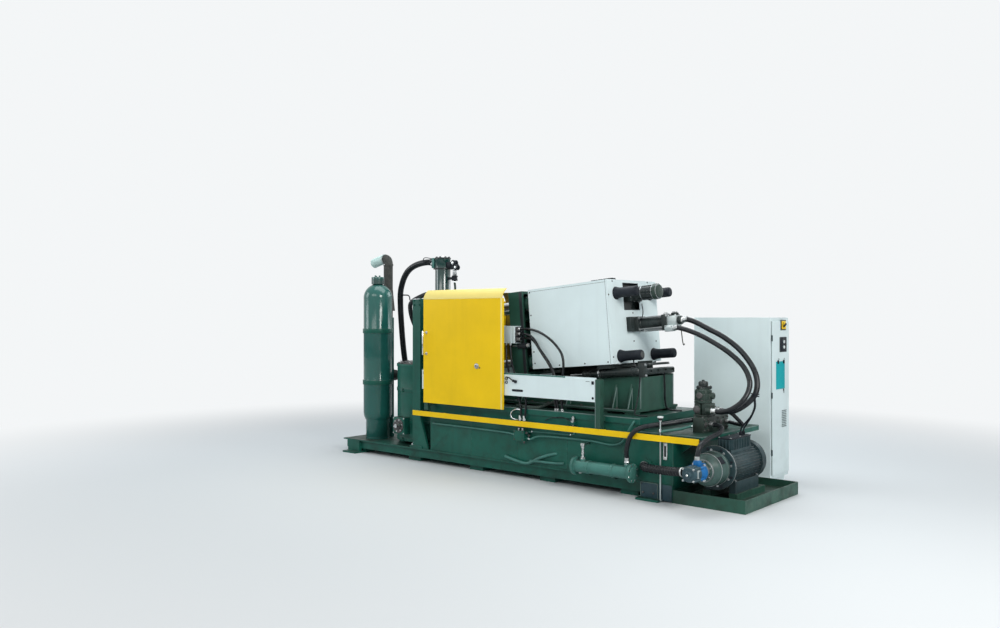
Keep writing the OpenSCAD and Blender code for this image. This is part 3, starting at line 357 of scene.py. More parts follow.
def paint_node(name, obj, edge=0.0016):
    obj.data.materials.clear()
    obj.data.materials.append(FINISH[OWN_FINISH.get(name, SLOT_OF[name])])
    weld = obj.modifiers.new("join", "WELD")
    weld.merge_threshold = 0.00002
    flat = obj.modifiers.new("whole_faces", "DECIMATE")
    flat.decimate_type, flat.angle_limit = "DISSOLVE", math.radians(0.8)
    soft = obj.modifiers.new("broken_edges", "BEVEL")
    soft.width, soft.segments, soft.limit_method, soft.angle_limit = edge, 2, "ANGLE", math.radians(40)
    soft.harden_normals = False


for name, obj in frame["nodes"].items():
    paint_node(name, obj)
print("painted", len(frame["nodes"]), "CAD nodes")

# %% [markdown]
# ## Workshop tools
# The machine's drawing is in millimetres, so pieces are made in millimetres and shrunk once at the
# end. A piece is a bmesh that shapes are joined into: bevelled blocks, turned profiles spun round
# an axis, and stamped fasteners. Places on the clamp unit use its own inclined frame.

# %% Blocks, turned shapes and finished pieces
HERE = Matrix.Identity(4)
CLAMP = Matrix.Translation((0, 0, 1430)) @ Matrix.Rotation(math.radians(-5), 4, "Y")
LEFT, RIGHT = (-1, 0, 0), (1, 0, 0)
FRONT, REAR = (0, -1, 0), (0, 1, 0)
DOWN, UP = (0, 0, -1), (0, 0, 1)
MOTOR_X, MOTOR_Z = 3390, 345
BAR = 315


def upright(x, y):
    """Axis that stands straight up at x and y."""
    return Matrix.Translation((x, y, 0))


def lying(y, w):
    """Axis along the clamp unit, at y to the side and w over its middle."""
    return CLAMP @ Matrix.Translation((0, y, w)) @ Matrix.Rotation(math.pi / 2, 4, "Y")


def turn_of(share, start=0.0):
    """Turn about an axis by a share of the full circle."""
    return Matrix.Rotation(math.tau * share + start, 4, "Z")


def facing(at, way, frame_of=HERE):
    """Matrix whose Z axis points along way from the point at."""
    turn = Vector(way).to_track_quat("Z", "Y").to_matrix().to_4x4()
    return frame_of @ Matrix.Translation(at) @ turn


def join(bm, part, at=HERE, mat=0):
    bmesh.ops.transform(part, matrix=at, verts=part.verts)
    for face in part.faces:
        face.material_index = mat
    mesh = bpy.data.meshes.new("part")
    part.to_mesh(mesh)
    part.free()
    bm.from_mesh(mesh)
    bpy.data.meshes.remove(mesh)


def block(bm, low, high, edge=2.0, at=HERE, mat=0, rounds=2):
    part = bmesh.new()
    low, high = Vector(low), Vector(high)
    size = high - low
    bmesh.ops.create_cube(part, size=1,
                          matrix=Matrix.Translation((low + high) / 2) @ Matrix.Diagonal((*size, 1)))
    if edge:
        bmesh.ops.bevel(part, geom=part.edges[:], offset=min(edge, min(size) * 0.45), affect="EDGES",
                        segments=rounds, profile=0.5, material=-1)
    join(bm, part, at, mat)


def turned(bm, profile, at=HERE, steps=24, mat=0):
    """Spins points (radius, height) round the Z axis of at."""
    part = bmesh.new()
    dots = [part.verts.new((r, 0, z)) for r, z in profile]
    line = [part.edges.new(pair) for pair in zip(dots, dots[1:])]
    bmesh.ops.spin(part, geom=dots + line, cent=(0, 0, 0), axis=(0, 0, 1), angle=math.tau, steps=steps,
                   use_merge=True, use_duplicate=False)
    bmesh.ops.remove_doubles(part, verts=part.verts, dist=0.001)
    bmesh.ops.recalc_face_normals(part, faces=part.faces)
    join(bm, part, at, mat)


def drum(bm, d, z0, z1, at=HERE, edge=2.0, steps=32, mat=0):
    r, e = d / 2, min(edge, d / 5, abs(z1 - z0) / 2.5)
    turned(bm, [(0, z0), (r - e, z0), (r, z0 + e), (r, z1 - e), (r - e, z1), (0, z1)], at, steps, mat)


def settle(name, bm, finish, body="machine", slot=None, replaces=(), smooth=35):
    """Turns a millimetre bmesh into a finished piece that rides on a body."""
    bmesh.ops.scale(bm, vec=(0.001, 0.001, 0.001), verts=bm.verts)
    mesh = bpy.data.meshes.new(name)
    bm.to_mesh(mesh)
    bm.free()
    for stuff in finish if isinstance(finish, (list, tuple)) else [finish]:
        mesh.materials.append(FINISH[stuff])
    for face in mesh.polygons:
        face.use_smooth = True
    mesh.set_sharp_from_angle(angle=math.radians(smooth))
    thing = put(name, mesh)
    if replaces:
        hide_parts(*replaces)
    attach(thing, body)
    print(f"{name}: {len(mesh.polygons)} faces")


@contextmanager
def piece(name, finish, **where):
    """Opens an empty bmesh to draw in, and settles the piece when the block ends."""
    bm = bmesh.new()
    yield bm
    settle(name, bm, finish, **where)

# %% [markdown]
# ## Fasteners
# A bolt is looked at from a metre or more, so its head, its washer and its socket are enough. One
# small mesh is made for each kind and stamped wherever it is needed, scaled by the thread size.

# %% Bolt templates
def template(make):
    bm = bmesh.new()
    make(bm)
    mesh = bpy.data.meshes.new("stamp")
    bm.to_mesh(mesh)
    bm.free()
    return mesh


def hex_head(bm):
    drum(bm, 2.1, 0, 0.22, edge=0.05, steps=16)
    part = bmesh.new()
    bmesh.ops.create_cone(part, cap_ends=True, segments=6, radius1=0.92, radius2=0.92, depth=0.62)
    top = [e for e in part.edges if all(v.co.z > 0 for v in e.verts)]
    bmesh.ops.bevel(part, geom=top, offset=0.10, affect="EDGES", segments=1, profile=0.5, material=-1)
    join(bm, part, Matrix.Translation((0, 0, 0.52)))


def socket_head(bm):
    turned(bm, [(0, 0), (0.75, 0), (0.75, 0.86), (0.66, 0.95), (0.42, 0.95), (0.40, 0.5), (0, 0.5)], steps=16)


def pan_head(bm):
    turned(bm, [(0, 0), (0.95, 0), (0.93, 0.25), (0.62, 0.48), (0.16, 0.52), (0.12, 0.30), (0, 0.30)],
           steps=12)


def nut_on_stud(bm):
    hex_head(bm)
    drum(bm, 0.95, 0.8, 1.35, edge=0.12, steps=12)


HEX, SOCKET, PAN, NUT = (template(make) for make in (hex_head, socket_head, pan_head, nut_on_stud))


def stamp(bm, mesh, at, way, size, frame_of=HERE, spin=0.0, mat=0):
    """Stamps a template, sized in millimetres of thread, with its head pointing along way."""
    start, first_face = len(bm.verts), len(bm.faces)
    bm.from_mesh(mesh)
    bm.verts.ensure_lookup_table()
    bm.faces.ensure_lookup_table()
    for face in bm.faces[first_face:]:
        face.material_index = mat
    place = facing(at, way, frame_of) @ Matrix.Rotation(spin, 4, "Z") @ Matrix.Diagonal((size, size, size, 1))
    bmesh.ops.transform(bm, matrix=place, verts=bm.verts[start:])


def stamp_all(bm, mesh, xs, ys, zs, way, size, frame_of=HERE, mat=0):
    """Stamps a template at every place that the three lists of coordinates give together."""
    for spot in product(xs, ys, zs):
        stamp(bm, mesh, spot, way, size, frame_of, mat=mat)


def bolt_ring(bm, mesh, centre, way, radius, count, size, frame_of=HERE, phase=0.0, mat=0):
    face = facing(centre, way)
    for i in range(count):
        angle = phase + math.tau * i / count
        spot = face @ Vector((radius * math.cos(angle), radius * math.sin(angle), 0))
        stamp(bm, mesh, spot, way, size, frame_of, spin=angle * 3.7, mat=mat)


print("stamps:", [len(m.polygons) for m in (HEX, SOCKET, PAN, NUT)])

# %% [markdown]
# ## Hoses and pipes
# A hydraulic hose is a rubber tube that is stiff near its ends, where a steel collar is crimped on
# it and a nut follows. The route points are those of the CAD solids, so the hose lies where the
# frame has it. A smooth curve through them is sampled finely, given a round section and turned into
# a mesh, then the collars are added at both ends.

# %% Routes and tubes
def smooth_route(points, step=12.0):
    """Points spaced about step mm along a curve through the route, straight at both ends."""
    p = [Vector(q) for q in points]
    out = [p[0].copy()]
    for i in range(len(p) - 1):
        a = p[i - 1] if i > 1 else 2 * p[i] - p[i + 1]
        d = p[i + 2] if i + 2 < len(p) - 1 else 2 * p[i + 1] - p[i]
        if i == 1:
            a = p[0]
        if i == len(p) - 3:
            d = p[-1]
        b, c = p[i], p[i + 1]
        n = max(2, int((c - b).length / step))
        for k in range(1, n + 1):
            t = k / n
            out.append(0.5 * (2 * b + (c - a) * t + (2 * a - 5 * b + 4 * c - d) * t * t + (3 * b - a - 3 * c + d) * t ** 3))
    return out


def tube(bm, line, d, mat=0, sides=5, swell=None):
    """Joins a round tube along a line of points; swell gives each point's share of the radius."""
    data = bpy.data.curves.new("route", "CURVE")
    data.dimensions, data.bevel_depth, data.bevel_resolution = "3D", d / 2, sides
    data.use_fill_caps = True
    spline = data.splines.new("POLY")
    spline.points.add(len(line) - 1)
    for i, point in enumerate(line):
        spline.points[i].co = (*point, 1)
        spline.points[i].radius = swell(i) if swell else 1.0
    ghost = bpy.data.objects.new("route", data)
    scene.collection.objects.link(ghost)
    bpy.context.view_layer.update()
    mesh = bpy.data.meshes.new_from_object(ghost.evaluated_get(bpy.context.evaluated_depsgraph_get()))
    first = len(bm.faces)
    bm.from_mesh(mesh)
    bm.faces.ensure_lookup_table()
    for face in bm.faces[first:]:
        face.material_index = mat
    bpy.data.objects.remove(ghost)
    bpy.data.curves.remove(data)
    bpy.data.meshes.remove(mesh)


def collar(bm, at, way, d, mat=1, nut=True):
    """Crimped collar over a hose's end, with grooves, and the swivel nut in front of it."""
    r, place = d / 2, facing(at, way)
    length = max(d * 0.9, 22)
    ring = [(r * 0.7, 4)]
    for k in range(4):
        z = 4 + (length - 4) * k / 4
        ring += [(r * 1.13, z + 1), (r * 1.13, z + length * 0.17), (r * 1.05, z + length * 0.2),
                 (r * 1.05, z + length * 0.24)]
    turned(bm, ring + [(r * 0.7, length + 1)], place, 20, mat)
    if nut:
        part = bmesh.new()
        bmesh.ops.create_cone(part, cap_ends=True, segments=6, radius1=r * 1.22, radius2=r * 1.22,
                              depth=d * 0.36)
        bmesh.ops.bevel(part, geom=part.edges[:], offset=r * 0.06, affect="EDGES", segments=1, profile=0.5,
                        material=-1)
        join(bm, part, place @ Matrix.Translation((0, 0, -d * 0.10)), mat)


def dressed_hoses(name, node, runs, smooth=50):
    bm = bmesh.new()
    for points, d, ends in runs:
        line = smooth_route(points, max(8.0, d * 0.3))
        tube(bm, line, d, 0 if d > 20 else 2)
        if "a" in ends:
            collar(bm, line[0], line[1] - line[0], d)
        if "b" in ends:
            collar(bm, line[-1], line[-2] - line[-1], d)
    settle(name, bm, ["hose_rubber", "zinc_plate", "light_green_paint"], slot="hose_rubber",
           replaces=(node,), smooth=smooth)


dressed_hoses("big_clamp_hoses", "clamp_hoses", [
    ([(2839.5, 0, 1678.5), (2879.5, 0, 1682), (2970, 0, 1656), (3110, 0, 1590), (3268, 0, 1513),
      (3440, -20, 1397),
      (3568, -40, 1253), (3630, -70, 1128), (3635, -110, 1010), (3580, -160, 920), (3480, -190, 850),
      (3390, -200, 834), (3310, -200, 835), (3282, -200, 835)], 52, "ab"),
    ([(2786.5, -90, 1598.5), (2826.5, -90, 1602), (2960, -90, 1570), (3120, -92, 1508), (3348, -100, 1386),
      (3516, -125, 1258), (3598, -160, 1132), (3606, -200, 1030), (3566, -266, 930), (3470, -285, 860),
      (3380, -277, 834), (3310, -275, 835), (3282, -275, 835)], 48, "ab"),
])
dressed_hoses("deck_hoses", "valve_hoses", [
    ([(3130, -320, 745), (3112, -320, 745), (3060, -390, 736), (2990, -490, 722), (2877, -600, 702),
      (2790, -660, 682),
      (2735, -707, 652), (2690, -718, 600), (2662, -720, 540), (2645, -718, 470), (2629, -700, 420),
      (2623, -680, 385),
      (2623, -680, 345)], 45, "b"),
    ([(MOTOR_X, -750, 448), (MOTOR_X, -750, 490), (3400, -715, 575), (3404, -560, 625), (3425, -400, 660),
      (3395, -300, 695),
      (3310, -232, 705), (3270, -230, 705), (3236, -230, 705)], 44, "ab"),
    ([(3282, -125, 835), (3310, -125, 835), (3400, -120, 812), (3452, -60, 740), (3440, 30, 695),
      (3370, 85, 688),
      (3275, 100, 700), (3236, 100, 700)], 36, "ab"),
    ([(1380, -620, 440), (1415, -620, 440), (1520, -612, 476), (1777, -600, 487), (2145, -598, 488),
      (2380, -598, 474),
      (2500, -604, 500), (2560, -616, 560), (2610, -624, 640), (2645, -620, 695), (2650, -608, 715),
      (2650, -590, 715)], 20, "a"),
    ([(1210, -620, 470), (1180, -620, 470), (1060, -602, 476), (700, -596, 480), (300, -596, 482),
      (-20, -598, 483),
      (-52, -592, 483), (-60, -580, 483), (-60, -572, 483)], 20, "a"),
])
dressed_hoses("shot_end_hoses", "shot_hoses", [
    ([(-602, 0, 2375), (-640, 0, 2375), (-720, -12, 2392), (-840, -25, 2385), (-970, -30, 2355),
      (-1080, -30, 2300),
      (-1170, -20, 2215), (-1240, 0, 2115), (-1286, 20, 2020), (-1310, 40, 1900), (-1320, 60, 1700),
      (-1340, 120, 1300),
      (-1378, 240, 800), (-1388, 290, 560), (-1390, 300, 440), (-1390, 300, 388)], 76, "ab"),
    ([(-602, -40, 1997), (-640, -40, 1997), (-710, -70, 1990), (-795, -120, 1950), (-880, -150, 1900),
      (-930, -140, 1830),
      (-960, -60, 1650), (-1010, 200, 1300), (-1130, 420, 900), (-1200, 400, 600), (-1225, 350, 380),
      (-1245, 308, 270),
      (-1275, 300, 230), (-1310, 300, 230)], 56, "ab"),
])
dressed_hoses("core_hoses", "platen_hoses", [
    ([(1160, -510, 1575), (1185, -510, 1575), (1346, -540, 1575), (1503, -565, 1540), (1662, -585, 1460),
      (1784, -600, 1352), (1822, -605, 1252), (1815, -605, 1110), (1790, -600, 950), (1782, -582, 860),
      (1780, -568, 790), (1780, -568, 750)], 26, "ab"),
    ([(1160, -510, 1525), (1185, -510, 1525), (1280, -535, 1522), (1386, -550, 1486), (1503, -570, 1364),
      (1623, -590, 1245), (1700, -600, 1130), (1730, -600, 980), (1726, -582, 860), (1725, -568, 790),
      (1725, -568, 750)], 24, "ab"),
    ([(1160, -510, 1470), (1185, -510, 1470), (1275, -518, 1483), (1374, -524, 1454), (1490, -543, 1337),
      (1606, -563, 1218), (1680, -576, 1110), (1702, -588, 980), (1698, -582, 860), (1696, -568, 790),
      (1696, -568, 750)], 24, "ab"),
    ([(1000, -530, 1424), (1000, -530, 1380), (1040, -560, 1200), (1150, -600, 990), (1240, -606, 850),
      (1268, -608, 700), (1250, -614, 590), (1250, -616, 550), (1250, -616, 520)], 21, "ab"),
    ([(1060, -530, 1424), (1060, -530, 1380), (1110, -560, 1200), (1240, -600, 990), (1330, -606, 850),
      (1330, -608, 700), (1304, -614, 590), (1300, -616, 550), (1300, -616, 520)], 21, "ab"),
])

# %% [markdown]
# The pump's suction hose is the ribbed kind that doesn't collapse under the pull of the pump. Its
# radius goes up and down along the route, one rib to each 36 mm, and two worm-drive clamps hold it.

# %% Suction hose
with piece("ribbed_suction_hose", ["hose_rubber", "zinc_plate"], slot="hose_rubber",
           replaces=("suction_hose",)) as bm:
    line = smooth_route([(2770, -590, 313), (2770, -622, 313), (2798, -650, 311), (2870, -668, 309),
                         (3028, -702, 314),
                         (3190, -768, 332), (MOTOR_X - 120, -790, 341), (MOTOR_X - 86, -790, 341)], 4.0)
    tube(bm, line, 84, swell=lambda i: 0.88 + 0.12 * math.cos(i * math.tau / 9))
    for at, way in ((line[5], line[6] - line[5]), (line[-9], line[-8] - line[-9])):
        turned(bm, [(42, -8), (44, -8), (44.6, -6), (44.6, 6), (44, 8), (42, 8)], facing(at, way), 32, 1)
        block(bm, (40, -9, -7), (54, 9, 7), 2, facing(at, way), 1)

# %% [markdown]
# ## Hood
# The hood is folded sheet held by pan-head screws. Where its end panel meets the side panels a thin
# dark joint shows, and the opening round the die height motor has a rubber edging, so that the motor
# can move with the platen. The screws sit on rubber washers.

# %% Hood joints, edging and screws
with piece("hood_trim", ["cream_paint", "black_plastic", "dark_iron"], slot="cream_paint") as bm:
    end, side, low, top = 2295, 460, -390, 452
    for s in (-1, 1):
        block(bm, (end - 26, s * side - 0.6, low + 6), (end - 23.5, s * side + 0.6, top - 2), 0, CLAMP, 1)
        block(bm, (1310, s * side - 0.6, top - 26), (end - 26, s * side + 0.6, top - 23.5), 0, CLAMP, 1)
    for y0, y1, z0, z1 in ((-184, 104, 416, 424), (-184, 104, 146, 154), (-184, -176, 154, 416),
                           (96, 104, 154, 416)):
        block(bm, (end - 6, y0, z0), (end + 4, y1, z1), 2, CLAMP, 1)
    for y, w in ((-368, 435), (294, 440), (-448, 298), (-28, 118), (-46, -170), (384, -179), (-441, -320),
                 (441, -320), (430, 298)):
        drum(bm, 17, 0, 1.6, facing((end, y, w), RIGHT, CLAMP), 0.4, 16, 1)
        stamp(bm, PAN, (end + 1.5, y, w), RIGHT, 8, CLAMP, mat=2)
    for s in (-1, 1):
        for u, w in ((1307, 178), (1314, -210), (1318, -330), (1307, 420), (1640, -366), (1960, -366),
                     (2240, -366)):
            drum(bm, 17, 0, 1.6, facing((u, s * side, w), (0, s, 0), CLAMP), 0.4, 16, 1)
            stamp(bm, PAN, (u, s * (side + 1.5), w), (0, s, 0), 8, CLAMP, mat=2)
    for u in (1330, 1560, 1740, 2210):
        for s in (-1, 1):
            stamp(bm, PAN, (u, s * 430, top), UP, 8, CLAMP, mat=2)

# %% [markdown]
# On the hood's top sits the progressive oil distributor: a row of small piston blocks, each with a
# screwed fitting and a thin plated line that leads down to the hood.

# %% Oil distributor on the hood
with piece("oil_distributor", ["black_paint", "zinc_plate"], slot="black_paint",
           replaces=("lubrication_block",)) as bm:
    block(bm, (1790, -70, 452), (2130, 70, 474), 3, CLAMP)
    for i in range(9):
        u = 1816 + i * 30
        block(bm, (u, -40, 473), (u + 18, 40, 507), 3, CLAMP)
        drum(bm, 10, 506, 511, CLAMP @ upright(u + 9, -18), 1.5, 12, 1)
        drum(bm, 9, 506, 510, CLAMP @ upright(u + 9, 16), 1.5, 12, 1)
        for s in (-1, 1):
            stamp(bm, HEX, (u + 9, s * 40, 490), (0, s, 0), 6, CLAMP, mat=1)
            line = smooth_route([CLAMP @ Vector(p) for p in (
                (u + 9, s * 46, 490), (u + 9, s * 54, 490), (u + 12, s * 66, 478), (u + 12, s * 66, 462),
                (u + 12, s * 66, 452))], 4)
            tube(bm, line, 4, 1, 2)
    for u in (1800, 2118):
        for s in (-1, 1):
            stamp(bm, SOCKET, (u, s * 56, 474), UP, 8, CLAMP, mat=1)

# %% [markdown]
# The tie bars come through the end panel in black moulded caps. Each has a flared foot, a few soft
# rings from the mould and a flat end, rubbed bare on one of them. One profile is spun for all four.

# %% Tie bar caps
with piece("bar_caps", ["black_plastic", "dark_iron"], slot="black_paint", replaces=("tie_bar_caps",),
           smooth=30) as bm:
    profile = [(43, 2296), (64, 2296), (65, 2300), (62, 2306), (57, 2322), (52.5, 2340), (50.5, 2352),
               (50, 2380), (49.2, 2386),
               (50, 2392), (50, 2440), (49.2, 2446), (50, 2452), (50, 2486), (49.0, 2492), (50.2, 2498),
               (50.2, 2526), (49, 2538),
               (45, 2545), (38, 2548), (0, 2548)]
    for sy in (-1, 1):
        for sw in (-1, 1):
            at = lying(sy * BAR, sw * BAR)
            turned(bm, profile, at, 40)
            drum(bm, 62, 2547, 2550, at, 1.2, 32, 1 if (sy, sw) == (-1, -1) else 0)
            bolt_ring(bm, PAN, (2304, sy * BAR, sw * BAR), RIGHT, 55, 4, 6, CLAMP, 0.785, 1)

# %% [markdown]
# ## Die height motor
# A small hydraulic gear motor turns the tie bar nuts to set the die height. It looks out of the
# hood's opening with a bright machined flange, a ribbed drum and a domed cover held by screws.

# %% Die height motor
with piece("die_height_motor", ["oily_black", "bare_steel", "oily_green", "dark_iron", "black_plastic"],
           slot="green_paint", replaces=("height_motor",)) as bm:
    at = lying(-40, 306)
    block(bm, (2250, -110, 232), (2330, 30, 380), 4, CLAMP)
    block(bm, (2296, -112, 378), (2336, 32, 384), 2, CLAMP, 3)
    turned(bm, [(0, 2329), (80, 2329), (80, 2344), (78, 2346), (70, 2346), (70, 2440), (74, 2441),
                (74, 2451), (70, 2452),
                (70, 2568), (0, 2568)], at, 48)
    turned(bm, [(74.6, 2332), (80.6, 2332), (80.6, 2342), (74.6, 2342)], at, 48, 1)
    turned(bm, [(70.2, 2443), (74.7, 2443), (74.7, 2449), (70.2, 2449)], at, 48, 1)
    turned(bm, [(0, 2568), (76, 2568), (79, 2571), (79, 2618), (77.5, 2622), (73, 2623), (70, 2626),
                (67, 2634), (60, 2636.5),
                (30, 2638), (0, 2638.5)], at, 48, 2)
    turned(bm, [(77, 2570), (79.6, 2573), (79.6, 2577), (77, 2577)], at, 48, 1)
    turned(bm, [(69, 2622.5), (77.4, 2623), (77.4, 2624.5), (69, 2626.8)], at, 48, 1)
    for k in range(14):
        angle = math.tau * k / 14
        ridge = at @ Matrix.Rotation(angle, 4, "Z")
        block(bm, (69, -4, 2460), (73.5, 4, 2560), 1.5, ridge, 0, 1)
    bolt_ring(bm, SOCKET, (2346, -40, 306), RIGHT, 75, 6, 7, CLAMP, 0.3, 3)
    bolt_ring(bm, PAN, (2623, -40, 306), RIGHT, 73.5, 6, 6, CLAMP, 0.5, 3)
    block(bm, (2356, -64, 224), (2410, -16, 246), 4, CLAMP)
    stamp(bm, HEX, (2383, -40, 224), DOWN, 12, CLAMP, mat=3)
    lead = smooth_route([(2398, -50, 1841), (2398, -50, 1826), (2404, -52, 1800), (2412, -55, 1760),
                         (2408, -56, 1715), (2385, -58, 1670),
                         (2350, -60, 1640), (2318, -60, 1632)], 8)
    tube(bm, lead, 9, 4, 3)

# %% [markdown]
# ## Clamp cylinder
# The cylinder that folds the toggle is a tie-rod type: two square heads, a tube between them and
# four long rods with nuts. Its rear head carries the port block and a prefill valve, where the two
# large hoses start. Below runs the position rod in its bright tube.

# %% Clamp cylinder
with piece("clamp_ram", ["oily_black", "bare_steel", "black_plastic", "zinc_plate", "galvanised",
                         "rusty_duct"], slot="green_paint", replaces=("clamp_cylinder",)) as bm:
    axis = lying(0, 0)
    block(bm, (2250, -74, -74), (2378, 74, 74), 5, CLAMP)
    block(bm, (2297, -165, -74), (2350, -60, 74), 5, CLAMP)
    drum(bm, 118, 2376, 2392, axis, 3, 40)
    drum(bm, 105, 2390, 2640, axis, 1, 48)
    for sy in (-1, 1):
        for sw in (-1, 1):
            drum(bm, 15, 2376, 2712, lying(sy * 56, sw * 56), 2, 16, 1)
            stamp(bm, NUT, (2690, sy * 56, sw * 56), RIGHT, 14, CLAMP, mat=1)
            stamp(bm, HEX, (2378, sy * 56, sw * 56), RIGHT, 13, CLAMP, mat=1)
    block(bm, (2640, -68, -86), (2690, 68, 68), 4, CLAMP)
    block(bm, (2689, -55, -50), (2800, 55, 50), 6, CLAMP, 4)
    block(bm, (2700, -122, -106), (2790, -54, -44), 5, CLAMP, 4)
    drum(bm, 76, 20, 78, CLAMP @ upright(2760, 0), 4, 32)
    drum(bm, 60, 77, 92, CLAMP @ upright(2760, 0), 4, 6, 3)
    drum(bm, 70, -90, -32, CLAMP @ upright(2745, 0), 5, 32, 3)
    bolt_ring(bm, SOCKET, (2745, 0, -90), DOWN, 25, 4, 8, CLAMP, 0.4, 1)
    drum(bm, 84, 2799, 2836, axis, 3, 32)
    drum(bm, 70, 2834, 2842, axis, 2, 6, 3)
    for u, y in ((2705, -40), (2705, 40), (2785, -40), (2785, 40)):
        stamp(bm, SOCKET, (u, y, 50), UP, 11, CLAMP, mat=1)
    stamp_all(bm, SOCKET, (2712, 2780), (-122,), (-98, -56), FRONT, 8, CLAMP, mat=1)
    block(bm, (2646, -30, 67), (2684, 34, 84), 3, CLAMP, 3)
    for y in (-16, 18):
        stamp(bm, HEX, (2665, y, 84), UP, 10, CLAMP, mat=3)
    drum(bm, 20, 2340, 2650, lying(0, -76), 2, 20, 1)
    for u in (2400, 2610):
        block(bm, (u, -16, -90), (u + 16, 16, -50), 2, CLAMP, 3)
    sensor = smooth_route([CLAMP @ Vector(p) for p in (
        (2766, 58, -20), (2766, 72, -22), (2768, 84, -50), (2772, 84, -140), (2776, 84, -212),
        (2788, 76, -246), (2806, 64, -236))], 6)
    tube(bm, sensor, 10, 5, 3)
    block(bm, (2752, 50, -34), (2780, 66, -6), 3, CLAMP, 2)

# %% [markdown]
# ## Valve stack on the end shelf
# The main relief and logic valves are stacked on a manifold block. From below: a steel block with
# ports, two valve bodies side by side, a pilot body with a round boss, a collar with four screws and
# an adjusting knob with arms. Castings have soft edges, so the bevels here are wide.

# %% Valve stack
with piece("valve_tower", ["oily_green", "dark_iron", "oily_black"], slot="green_paint",
           replaces=("valve_stack",), smooth=40) as bm:
    cx, cy, z = 3170, -200, 775
    block(bm, (3130, -350, 632), (3236, 150, 775), 4)
    for y in (-300, -230, -130, 0, 100):
        turned(bm, [(0, 0), (27, 0), (27, 3), (24, 5), (0, 5)], facing((3236, y, 705), RIGHT), 28, 1)
    stamp_all(bm, SOCKET, (3236,), (-330, -265, -60, 50, 130), (655, 752), RIGHT, 11, mat=1)
    stamp_all(bm, SOCKET, (3142, 3224), (-338, -110, 20, 138), (775,), UP, 11, mat=1)
    block(bm, (cx - 75, cy - 75, z), (cx + 60, cy + 75, z + 16), 3)
    block(bm, (cx - 70, cy - 70, z + 15), (cx - 10, cy + 20, z + 125), 9, rounds=3)
    block(bm, (cx, cy - 60, z + 15), (cx + 80, cy + 60, z + 125), 7, rounds=3)
    block(bm, (cx - 14, cy - 40, z + 30), (cx + 4, cy + 16, z + 112), 4)
    for y, d in ((0, 70), (-75, 60), (75, 46)):
        turned(bm, [(0, 60), (d / 2, 60), (d / 2, 96), (d / 2 + 5, 98), (d / 2 + 5, 110), (d / 2 - 2, 112),
                    (0, 112)],
               facing((cx, cy + y, z + 60), RIGHT), 32, 0)
    bolt_ring(bm, SOCKET, (cx + 80, cy, z + 60), RIGHT, 48, 4, 12, HERE, 0.785, 1)
    at = facing((cx - 40, cy - 70, z + 65), FRONT)
    turned(bm, [(0, 0), (34, 0), (35, 3), (35, 12), (30, 15), (22, 15), (20, 19), (9, 20), (0, 20)], at, 32,
           1)
    bolt_ring(bm, SOCKET, (cx - 40, cy - 84, z + 65), FRONT, 28, 4, 5, HERE, 0.785, 2)
    top = Matrix.Translation((cx - 12, cy, z))
    drum(bm, 172, 122, 148, top, 6, 8)
    turned(bm, [(0, 146), (70, 146), (75, 152), (75, 205), (72, 212), (75, 219), (75, 244), (69, 250),
                (0, 250)], top, 40)
    for k in range(6):
        rib = top @ turn_of(k / 6, 0.26)
        block(bm, (66, -10, 150), (80, 10, 240), 4, rib)
    at = facing((cx - 12, cy - 68, z + 195), FRONT)
    turned(bm, [(0, 0), (30, 0), (30, 16), (26, 20), (14, 21), (12, 16), (0, 16)], at, 32, 1)
    at = facing((cx + 58, cy + 12, z + 192), RIGHT)
    turned(bm, [(0, 0), (32, 0), (32, 28), (28, 34), (12, 34), (12, 28), (0, 28)], at, 32)
    bolt_ring(bm, SOCKET, (cx - 12, cy, z + 147), UP, 76, 4, 10, HERE, 0.3, 1)
    drum(bm, 124, 249, 262, top, 3, 32)
    drum(bm, 116, 261, 276, top, 4, 6, 2)
    bolt_ring(bm, SOCKET, (cx - 12, cy, z + 262), UP, 54, 4, 9, HERE, 0.1, 1)
    for s in (0, 1, 2):
        arm = top @ turn_of(s / 3, 0.2) @ Matrix.Rotation(math.pi / 2, 4, "Y")
        drum(bm, 20, 30, 66, arm @ upright(-272, 0), 3, 12, 1)
        drum(bm, 32, 58, 80, arm @ upright(-272, 0), 6, 16, 2)
    turned(bm, [(0, 275), (36, 275), (42, 280), (42, 318), (38, 326), (16, 327), (14, 332), (14, 338),
                (10, 340), (0, 340)], top, 12, 2)
    for k in range(12):
        knurl = top @ turn_of(k / 12)
        block(bm, (39, -4, 282), (44.5, 4, 318), 1.5, knurl, 2, 1)
    for y in (-250, -150):
        drum(bm, 34, 0, 16, facing((3183, y, 775), UP), 2, 6, 1)

# %% [markdown]
# ## Pump motor
# A foot-mounted electric motor in a ribbed iron frame. The ribs are solids of the frame already.
# What is added is what a fitter would look for: the flange screws, the end bell's ribs, the fan cowl
# with its grille, and the terminal box with its lid and cable glands.

